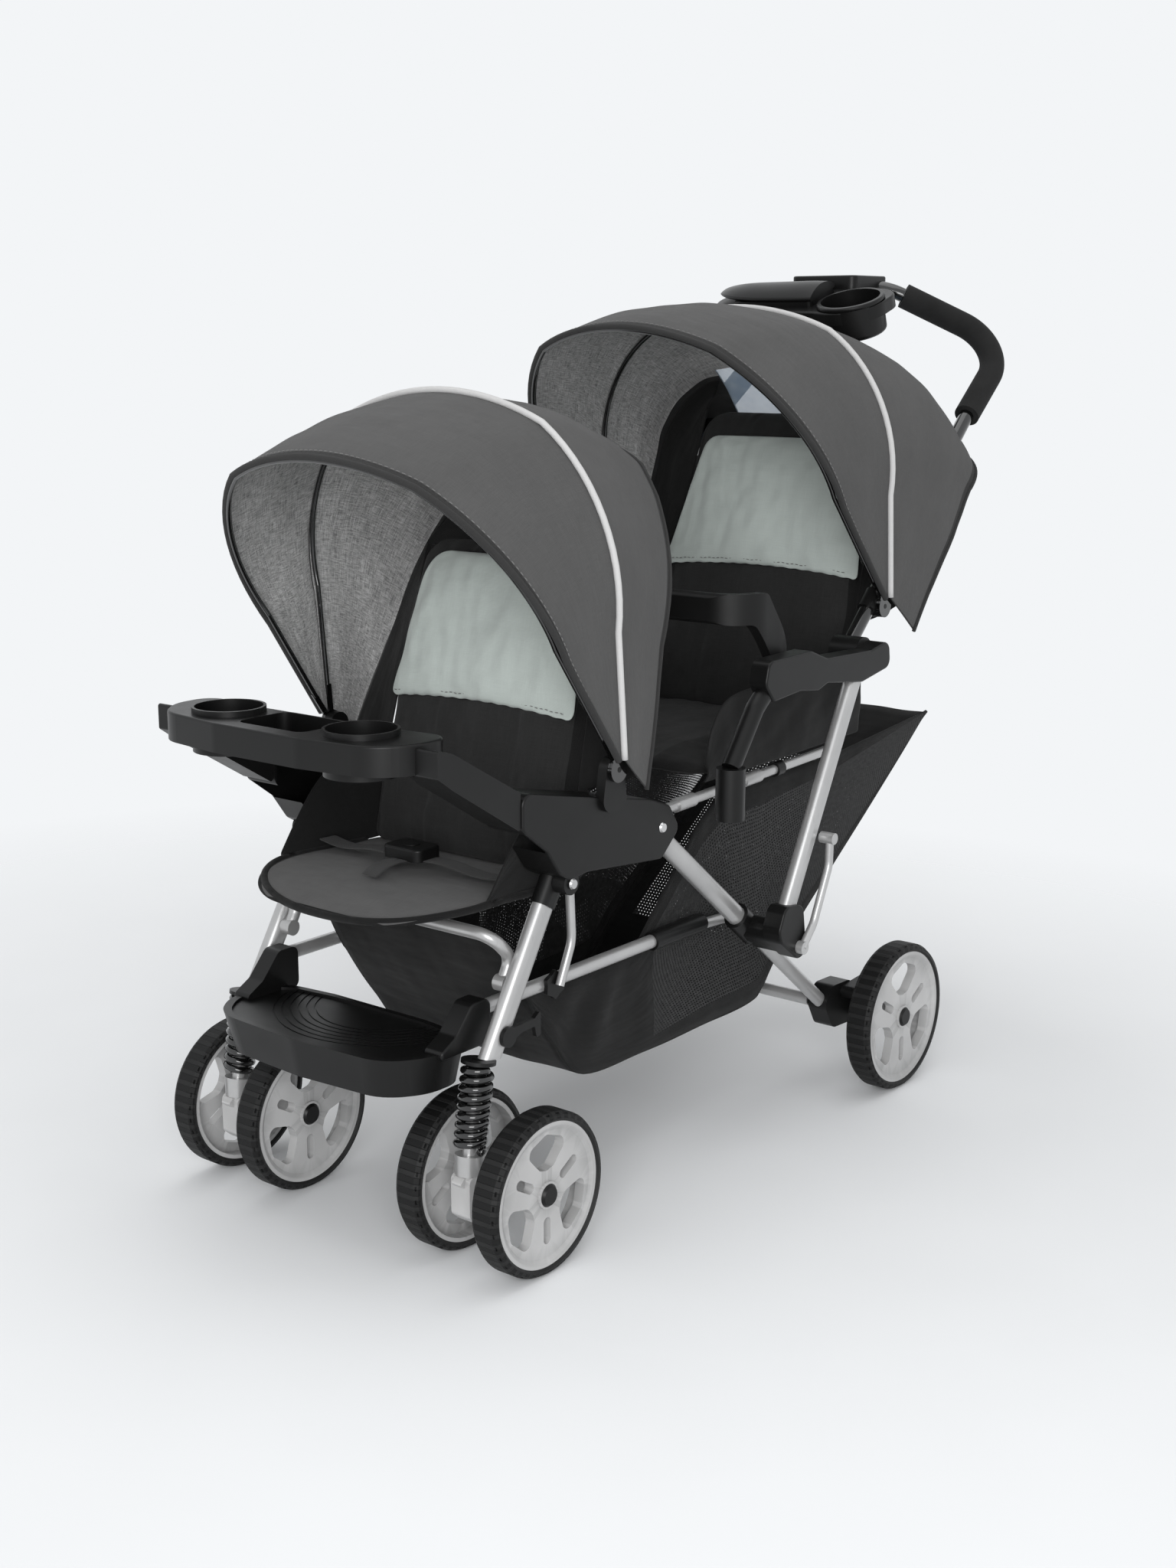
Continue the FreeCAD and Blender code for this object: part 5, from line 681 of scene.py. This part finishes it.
def pad(name, place, half_u, half_v, front, back, looks, corners, size, power, wrinkle, seed,
        grooves=(), taper=0.0, pick=None):
    """A sewn pad: two crowned faces that meet at a seam.

    place turns x, along and out into a point; corners gives the radii at its start and end.
    """
    nu, nv = size

    def outline(v):
        turn = corners[1 if v > 0 else 0]
        spare = max(abs(v) - (half_v - turn), 0) / turn
        wide = half_u * (1 - taper * (v / half_v + 1) / 2)
        reach = min(turn, wide)
        return wide - reach + reach * max(1 - spare ** ROUNDNESS, 0) ** (1 / ROUNDNESS)

    def depth(u, v, x, full):
        rise = full * crown(u, power) * crown(v, power)
        pinch = sum(math.exp(-((u - notch_depth_and_shade) * half_u / GROOVE_WIDTH) ** 2) for notch_depth_and_shade in grooves)
        crease = noise.noise(Vector((x * 0.02 + seed, v * half_v * 0.011, full * 0.1)))
        fine = noise.noise(Vector((x * 0.06 + seed, v * half_v * 0.035, full)))
        rise -= min(GROOVE_DEPTH * pinch, rise * 0.8)
        return rise + wrinkle * (crease * 1.6 + fine * 0.7) * min(1.0, rise / 6)

    verts, faces, picks, uvs = [], [], [], []
    index = {}

    def vertex(i, j, top):
        edge = i in (0, nu) or j in (0, nv)
        key = (i, j, edge or top)
        if key not in index:
            u, v = [(math.sin(w * math.pi / 2) + w) / 2 for w in (2 * i / nu - 1, 2 * j / nv - 1)]
            x = u * outline(v * half_v)
            out = 0.0 if edge else depth(u, v, x, front if top else back) * (1 if top else -1)
            index[key] = len(verts)
            verts.append(place(x, v * half_v, out) * MM)
            uvs.append((x * MM, v * half_v * MM))
        return index[key]

    for top in (True, False):
        for i in range(nu):
            for j in range(nv):
                ring = [vertex(i, j, top), vertex(i + 1, j, top), vertex(i + 1, j + 1, top),
                        vertex(i, j + 1, top)]
                faces.append(ring if top else ring[::-1])
                u, v = 2 * (i + 0.5) / nu - 1, 2 * (j + 0.5) / nv - 1
                picks.append(1 if pick and top and pick(u, v) else 0)
    mesh = new_mesh(name, verts, faces)
    uv = mesh.uv_layers.new(name="UVMap")
    for polygon, number in zip(mesh.polygons, picks):
        polygon.material_index = number
        for corner in polygon.loop_indices:
            uv.data[corner].uv = uvs[mesh.loops[corner].vertex_index]
    return soften(new_object(name, mesh, *looks))


def leaning(foot_y, foot_z, lean):
    """A frame for a back: x across, up along the back, out to the front."""
    turn = math.radians(lean)
    foot = Vector((0, foot_y, foot_z))
    up = Vector((0, math.sin(turn), math.cos(turn)))
    ahead = Vector((0, -math.cos(turn), math.sin(turn)))
    return lambda x, along, out: foot + Vector((x, 0, 0)) + up * along + ahead * out


def make_back(name, foot_y, foot_z, lean, height, half, body, rest):
    """A padded back of three sewn panels, with a pale headrest panel on its upper part."""
    rest_low, rest_high, rest_half, rest_taper, corners, bow = rest
    spot = leaning(foot_y, foot_z, lean)
    middle = height / 2

    def place(x, v, out):
        return spot(x, v + middle, out - 15)

    back = pad(name + "_back_pad", place, half, middle, 27, 15, ["cloth_black", "panel_grey"],
               corners=(14, 42), size=(60, 48), power=5, wrinkle=4.2, seed=foot_z,
               grooves=(-0.42, 0.42), taper=0.08, pick=lambda u, v: abs(u) < 0.88)
    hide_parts(name + "_seat_back")
    centre, tall = (rest_low + rest_high) / 2, (rest_high - rest_low) / 2

    def rest_place(x, v, out):
        low = max(0.0, -v / tall)
        gather = 0.9 * math.sin(x / 3.1) * low ** 6
        drop = bow * low * (x / rest_half) ** 2
        hollow = (x / rest_half) ** 2 * 7
        flare = low ** 3 * 5
        return spot(x, v + centre + gather - drop, out + 11 - hollow + flare)

    rest = pad(name + "_headrest", rest_place, rest_half, tall, 15, 3, ["headrest"],
               corners=corners, size=(56, 44), power=3.2, wrinkle=4.4, seed=foot_y,
               taper=rest_taper)
    seam = stitches(name + "_headrest_stitch",
                    [rest_place(rest_half * 0.92 * (k / 30 - 1), 6 - tall, 6.2) * MM
                     for k in range(61)])
    for piece, word in ((back, "cloth_dark"), (rest, "pale"), (seam, "pale")):
        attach(piece, body)
        if name == "rear":
            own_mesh(piece)


def curtain(name, inner, outer, fold=3.0, seed=0.0, count=16):
    """Loose black cloth hung between two lines of points in millimetres, with soft folds."""
    rows = []
    for k in range(count + 1):
        share = k / count
        free = math.sin(math.pi * share)
        line = []
        for n, (a, b) in enumerate(zip(inner, outer)):
            way = noise.noise_vector(Vector((n * 0.16 + seed, share * 1.7, seed)))
            line.append((a.lerp(b, share) + way * fold * free * 2) * MM)
        rows.append(line)
    return thicken(surface(name, rows, ["cloth_black"]), 0.002), rows


def make_wings():
    """Black cloth from each back's edge out to the canopy; the front one runs over the top too."""
    steps, behind, corner = 24, -8, 26

    def hang(name, inner, outer, seed):
        wing, rows = curtain(name, inner, outer, seed=seed)
        declare(wing, rows)
        return wing

    def beside(side, spot, width, low, high, line, reach):
        """The lines up a back's edge and up the canopy's, for one side."""
        inner, outer = [], []
        for k in range(steps + 1):
            along = low + (high - low) * k / steps
            inner.append(spot(side * width(along, k / steps), along, behind))
            at = 1 + reach * k / steps
            point = line[int(at)].lerp(line[int(at) + 1], at % 1) / MM
            outer.append(Vector((side * point.x, point.y, point.z)))
        return inner, outer

    spot, line = leaning(-292, 395.3, 14.5), section("front", "middle", "hem", 0.93, 6)
    half, high = 146, 338
    hem_side, back_side = Vector((0, -185, 650)) * MM, Vector((0, -213, 662)) * MM
    for side_name, side in SIDES.items():
        inner, outer = beside(side, spot, lambda along, share: half - 12 * share, 80, high, line,
                              corner - 1)
        wing = hang(f"front_wing_{side_name}", inner, outer, side)
        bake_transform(wing)
        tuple(hem_side)
        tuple(back_side)
    inner = [spot((half - 12) * math.cos(math.pi * k / 20), high, behind) for k in range(21)]
    outer = [line[corner + k] / MM for k in range(21)]
    top = hang("front_hood_back", inner, outer, 2.0)
    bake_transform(top)
    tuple(hem_side)
    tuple(back_side)
    spot, line = leaning(252, 483.1, 18), section("rear", "middle", "hem", 0.56, 6)
    for side_name, side in SIDES.items():
        inner, outer = beside(side, spot, lambda along, share: 156 * (1 - 0.08 * along / 392), 112,
                              392, line, corner)
        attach(hang(f"rear_wing_{side_name}", inner, outer, side), "handle_frame")


def curve_frame(points):
    """A frame along a curve in the side view: distance along it, then out to its left."""
    spots = lengths_along([Vector(p) for p in points])

    def place(x, along, out):
        along += spots[-1] / 2
        for i in range(len(spots) - 1):
            if spots[i + 1] >= along or i == len(spots) - 2:
                share = (along - spots[i]) / (spots[i + 1] - spots[i])
                a, b = Vector(points[i]), Vector(points[i + 1])
                flat = a.lerp(b, share)
                before = Vector(points[max(i - 1, 0)])
                after = Vector(points[min(i + 2, len(points) - 1)])
                way = (b - before).normalized().lerp((after - a).normalized(), share).normalized()
                return Vector((x, flat.x + way.y * out, flat.y - way.x * out))
        return Vector()

    return place, spots[-1]


def smooth_points(points, count):
    """Points spread along a smooth curve through the given ones, in the side view."""
    out = []
    spans = len(points) - 1
    for k in range(count + 1):
        at = spans * k / count
        i = min(int(at), spans - 1)
        t = at - i
        a, b, c, d = [Vector(points[min(max(i + n, 0), spans)]) for n in (-1, 0, 1, 2)]
        out.append(0.5 * (2 * b + (c - a) * t + (2 * a - 5 * b + 4 * c - d) * t * t
                          + (3 * b - a - 3 * c + d) * t ** 3))
    return out


def make_seats():
    """Both padded seats, the front one's welt, and the cloth at both seats' sides."""
    line = smooth_points([(-262, 377), (-340, 380), (-410, 383), (-468, 379), (-516, 367)], 60)
    place, length = curve_frame(line[::-1])
    half, turn, share_of_turn = 153, 104, 2 / ROUNDNESS
    front = pad("front_seat_pad", place, half, length / 2, -19, -11, ["cloth_black", "seat_grey"],
                corners=(turn, 16), size=(60, 60), power=2.9, wrinkle=-1.8, seed=2.0,
                pick=lambda u, v: abs(u) < 0.9 and v > -0.9)
    edge = []
    for k in range(61):
        angle = math.pi * (k / 60 - 0.5)
        across, along = math.sin(angle), math.cos(angle)
        x = half * math.copysign(abs(across) ** share_of_turn, across)
        edge.append(place(x, turn - length / 2 - turn * abs(along) ** share_of_turn, 0) * MM)
    run = [place(half, length / 2 * (k / 6) - 30, 0) * MM for k in range(7)]
    welt = [Vector((-p.x, p.y, p.z)) for p in run[::-1]] + edge + run
    piping = tube("front_seat_piping", welt, 0.0042, "cloth_black")
    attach(piping, "front_frame")
    rear = pad("rear_seat_pad", lambda x, v, out: Vector((x, v + 111, 461 + out)), 167, 173, 20,
               10, ["cloth_black", "panel_grey"], corners=(26, 26), size=(52, 52), power=5,
               wrinkle=1.8, seed=6.0, grooves=(-0.45, 0.45), pick=lambda u, v: abs(u) < 0.45)
    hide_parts("front_seat")
    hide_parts("rear_seat")
    for piece in (front, rear):
        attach(piece, "front_frame")
    low_line = smooth_points([(-60, 452), (20, 452), (100, 453), (180, 455), (286, 458)], 40)
    high_line = smooth_points([(-58, 474), (-44, 516), (-8, 546), (90, 553), (190, 560),
                               (252, 566), (284, 548)], 40)
    for side_name, side in SIDES.items():
        rows = []
        for k in range(15):
            share = k / 14
            row = []
            for low, high in zip(low_line, high_line):
                y, z = low.lerp(high, share)
                fold = noise.noise(Vector((y * 0.03 + 3 * side, z * 0.012, 1.7)))
                crease = noise.noise(Vector((y * 0.011, (z - 0.6 * y) * 0.03, 4.4 + side)))
                bulge = math.sin(math.pi * share) * (1.5 + 3 * fold + 6 * crease)
                row.append(Vector((side * (169 + bulge), y, z)) * MM)
            rows.append(row if side == RIGHT else row[::-1])
        panel = surface(f"rear_seat_side_{side_name}", rows, ["cloth_black"])
        thicken(panel, 0.002)
        declare(panel, rows)
        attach(panel, "front_frame")
        low = [Vector((side * 152, -430 + 168 * k / 24, 378)) for k in range(25)]
        high = [Vector((side * (156 + 3 * k / 24), -424 + 166 * k / 24,
                        388 + 92 * math.sin(math.pi / 2 * min(k / 15, 1)))) for k in range(25)]
        cheek, rows = curtain(f"front_seat_side_{side_name}", low, high, fold=2.0, seed=3 * side)
        declare(cheek, rows)
        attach(cheek, "front_frame")


WEBBING_WIDTH = 0.025


def make_harness():
    """Lap belts and a crotch strap over the front seat, with webbing into the buckle."""
    runs = []
    for side_name, side in SIDES.items():
        points = []
        for k in range(25):
            share = k / 24
            points.append(Vector((side * (20 + 122 * share), -374 + 8 * share * share,
                                  401 + 2.5 * math.sin(share * 7) - 4 * share)) * MM)
        runs.append((f"lap_belt_{side_name}", points, Vector((0, 0, 1))))
    points = [Vector((0, y, z)) * MM for y, z in
              smooth_points([(-384, 400), (-404, 402), (-425, 400), (-441, 393)], 20)]
    runs.append(("crotch_strap", points, Vector((0, 0.1, 1))))
    for name, points, normal in runs:
        belt = strip(name, points, normal, WEBBING_WIDTH, "webbing")
        if name == "lap_belt_left":
            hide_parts("harness")
        length = round(lengths_along(points)[-1], 3)
        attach(belt, "front_frame")


BASKET_PROFILE = [(-388, 340), (-346, 262), (-300, 196), (-246, 141), (-130, 133), (0, 133),
                  (96, 134), (124, 146), (158, 180), (250, 247), (400, 352), (526, 444)]
BASKET_HALF, BASKET_STEPS, NET = 136.0, 90, 0.0016
STAR = Vector((-148, 345))


def basket_top(y):
    """The height of the basket's edge, which follows the frame's tubes."""
    if y < -148:
        return 264
    if y < -20:
        return 264 + (y + 148)
    if y < 285:
        return min(424, 392 + (y + 20) * 0.6)
    return 424 + (y - 285) * 0.09


def make_basket():
    """A net basket with cloth bands along its edges; folds spread from the star clamp."""
    profile = smooth_points(BASKET_PROFILE, BASKET_STEPS)
    rows = []
    for y, z in profile:
        sag = 4.0 * math.sin(math.pi * min(max((y + 390) / 900, 0), 1))
        row = []
        for k in range(31):
            u = 2 * k / 30 - 1
            drop = sag * (1 - u * u) + 1.5 * noise.noise(Vector((u * 3, y * 0.01, 5)))
            row.append(Vector((BASKET_HALF * u, y, z - drop)) * MM)
        rows.append(row)
    floor = surface("basket_floor_net", rows, ["net", "cloth_black"],
                    pick=lambda i, j: 0 if 2 < j < 27 and 66 < i < 84 else 1)
    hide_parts("basket")
    pieces = [(floor, rows)]
    for side_name, side in SIDES.items():
        side_rows = []
        for k in range(25):
            share = k / 24
            row = []
            for y, z in profile:
                height = z + (max(basket_top(y), z + 2) - z) * share
                away = Vector((y, height)) - STAR
                near = math.exp(-((away.length - 120) / 110) ** 2)
                fold = noise.noise(Vector((math.atan2(away.y, away.x) * 5.2, 0.4, 4 + side)))
                soft = noise.noise(Vector((y * 0.012, height * 0.012, 4 + side)))
                bulge = math.sin(math.pi * share) * (2.4 * (1 + soft) + 6.5 * near * fold)
                row.append(Vector((side * (BASKET_HALF + bulge - 1), y, height)) * MM)
            side_rows.append(row if side == RIGHT else row[::-1])

        def side_pick(i, j):
            y = profile[j if side == RIGHT else BASKET_STEPS - 1 - j][0]
            return 1 if i > 20 or i < 2 or y < -120 or y > 515 else 0

        net = surface(f"basket_side_net_{side_name}", side_rows, ["net", "cloth_black"],
                      pick=side_pick)
        pieces.append((net, side_rows))
    for piece, piece_rows in pieces:
        thicken(piece, NET, smooth=False)
        declare(piece, piece_rows)
        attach(piece, "front_frame")


def make_springs():
    """Coils between the collar and the leg's cup, carried by each side's suspension."""
    foot, head = Vector((177, -483, 133)), Vector((177, -466, 232))
    way, across = (head - foot).normalized(), Vector((1, 0, 0))
    other = way.cross(across)
    turns, steps, low, high, radius, wire, travel = 9, 22, 5, 92, 14.3, 4, 10
    for side_name, side in SIDES.items():
        points = []
        for k in range(turns * steps + 1):
            share = k / (turns * steps)
            turn = math.tau * turns * share
            spot = foot + way * (low + (high - low) * share) \
                + (across * math.cos(turn) + other * math.sin(turn)) * radius
            points.append(Vector((side * spot.x, spot.y, spot.z)) * MM)
        coil = tube("spring_coil_" + side_name, points, wire * MM, "dark_tube")
        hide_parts("spring_" + side_name)
        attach(coil, "suspension_" + side_name)
        tuple(way)
        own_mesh(coil)


# Camera, floor and light


CAMERA_PLACE, CAMERA_LENS, CAMERA_TURN, CAMERA_TIP = (1.473, -1.913, 0.965), 45.70, 38.52, 12.83
FLOOR_REACH, AMBIENT, LIT_POINT = 8.0, 0.6, Vector((0, 0, 0.45))
LAMPS = {"key": ((2.1, -2.8, 1.3), 1.8, 66), "back": ((-2.2, 2.2, 2.6), 2.4, 5),
         "top": ((0, 0, 3.4), 2.6, 20)}


def make_camera(scene):
    camera = bpy.data.objects.new("camera", bpy.data.cameras.new("camera"))
    scene.collection.objects.link(camera)
    camera.data.lens = CAMERA_LENS
    camera.location = CAMERA_PLACE
    turn, tip = math.radians(CAMERA_TURN), math.radians(CAMERA_TIP)
    look = Vector((-math.sin(turn) * math.cos(tip), math.cos(turn) * math.cos(tip),
                   -math.sin(tip)))
    camera.rotation_euler = look.to_track_quat("-Z", "Y").to_euler()
    scene.camera = camera


def make_floor(scene):
    """Pale paper that keeps the shadow and fades out into the backdrop."""
    reach = FLOOR_REACH
    mesh = bpy.data.meshes.new("floor")
    mesh.from_pydata([(-reach, -reach, 0), (reach, -reach, 0), (reach, reach, 0),
                      (-reach, reach, 0)], [], [(0, 1, 2, 3)])
    floor = bpy.data.objects.new("floor", mesh)
    scene.collection.objects.link(floor)
    m = Looks("floor_paper")
    m.set(Base_Color=m.ramp(m.noise(m.place(False), 3, 2), (0.3, colour(247, 249, 251)),
                            (0.7, colour(250, 252, 254))))
    m.finish(0.9, 0.0)
    distance = m.add("VectorMath", {"operation": "LENGTH"})
    m.feed(distance.inputs[0], m.place(False, (0.8, 1, 1)))
    fade = m.ramp(m.maths("MULTIPLY", distance.outputs["Value"], 0.6), (0.36, 0.0), (0.92, 1.0))
    mixed = m.add("MixShader", Fac=fade)
    m.feed(mixed.inputs[1], m.shader.outputs[0])
    m.feed(mixed.inputs[2], m.add("BsdfTransparent").outputs[0])
    m.feed(m.out.inputs[0], mixed.outputs[0])
    mesh.materials.append(m.material)


def make_world(scene):
    """Plain white light, and a pale backdrop where the camera and reflections see it."""
    world = scene.world or bpy.data.worlds.new("world")
    scene.world = world
    world.use_nodes = True
    tree = world.node_tree
    tree.nodes.clear()

    def add(kind, *feeds):
        node = tree.nodes.new("ShaderNode" + kind)
        for socket, source in zip(node.inputs, feeds):
            tree.links.new(source, socket)
        return node

    rays = add("LightPath").outputs
    seen = add("Math", rays["Is Camera Ray"], rays["Is Transmission Ray"])
    seen.operation = "MAXIMUM"
    chosen = add("Math", seen.outputs[0], rays["Is Glossy Ray"])
    chosen.operation = "MAXIMUM"
    lit, plain = add("Background"), add("Background")
    lit.inputs[0].default_value = (1, 1, 1, 1)
    lit.inputs[1].default_value = AMBIENT
    plain.inputs[0].default_value = colour(243, 245, 247)
    mixed = add("MixShader", chosen.outputs[0], lit.outputs[0], plain.outputs[0])
    add("OutputWorld", mixed.outputs[0])


def make_lamps(scene):
    for name, (spot, size, power) in LAMPS.items():
        lamp = bpy.data.lights.new(name, "AREA")
        lamp.size, lamp.energy = size, power
        thing = bpy.data.objects.new(name, lamp)
        thing.location = spot
        thing.rotation_euler = (LIT_POINT - Vector(spot)).to_track_quat("-Z", "Y").to_euler()
        scene.collection.objects.link(thing)


def make_stage():
    scene = bpy.context.scene
    scene.view_settings.view_transform = "Standard"
    make_camera(scene)
    make_floor(scene)
    make_world(scene)
    make_lamps(scene)


dress_nodes()
make_canopy("front", "front_canopy", "front_visor_flap")
make_canopy("rear", "handle_frame", "rear_visor_flap")
make_back("front", foot_y=-295, foot_z=382, lean=14.5, height=364, half=148, body="front_back",
          rest=(178, 346, 138, 0.18, (12, 40), 8))
make_back("rear", foot_y=248, foot_z=470, lean=18, height=412, half=158, body="rear_back",
          rest=(196, 372, 156, 0.22, (8, 20), 8))
make_wings()
make_seats()
make_harness()
make_basket()
make_springs()
make_stage()
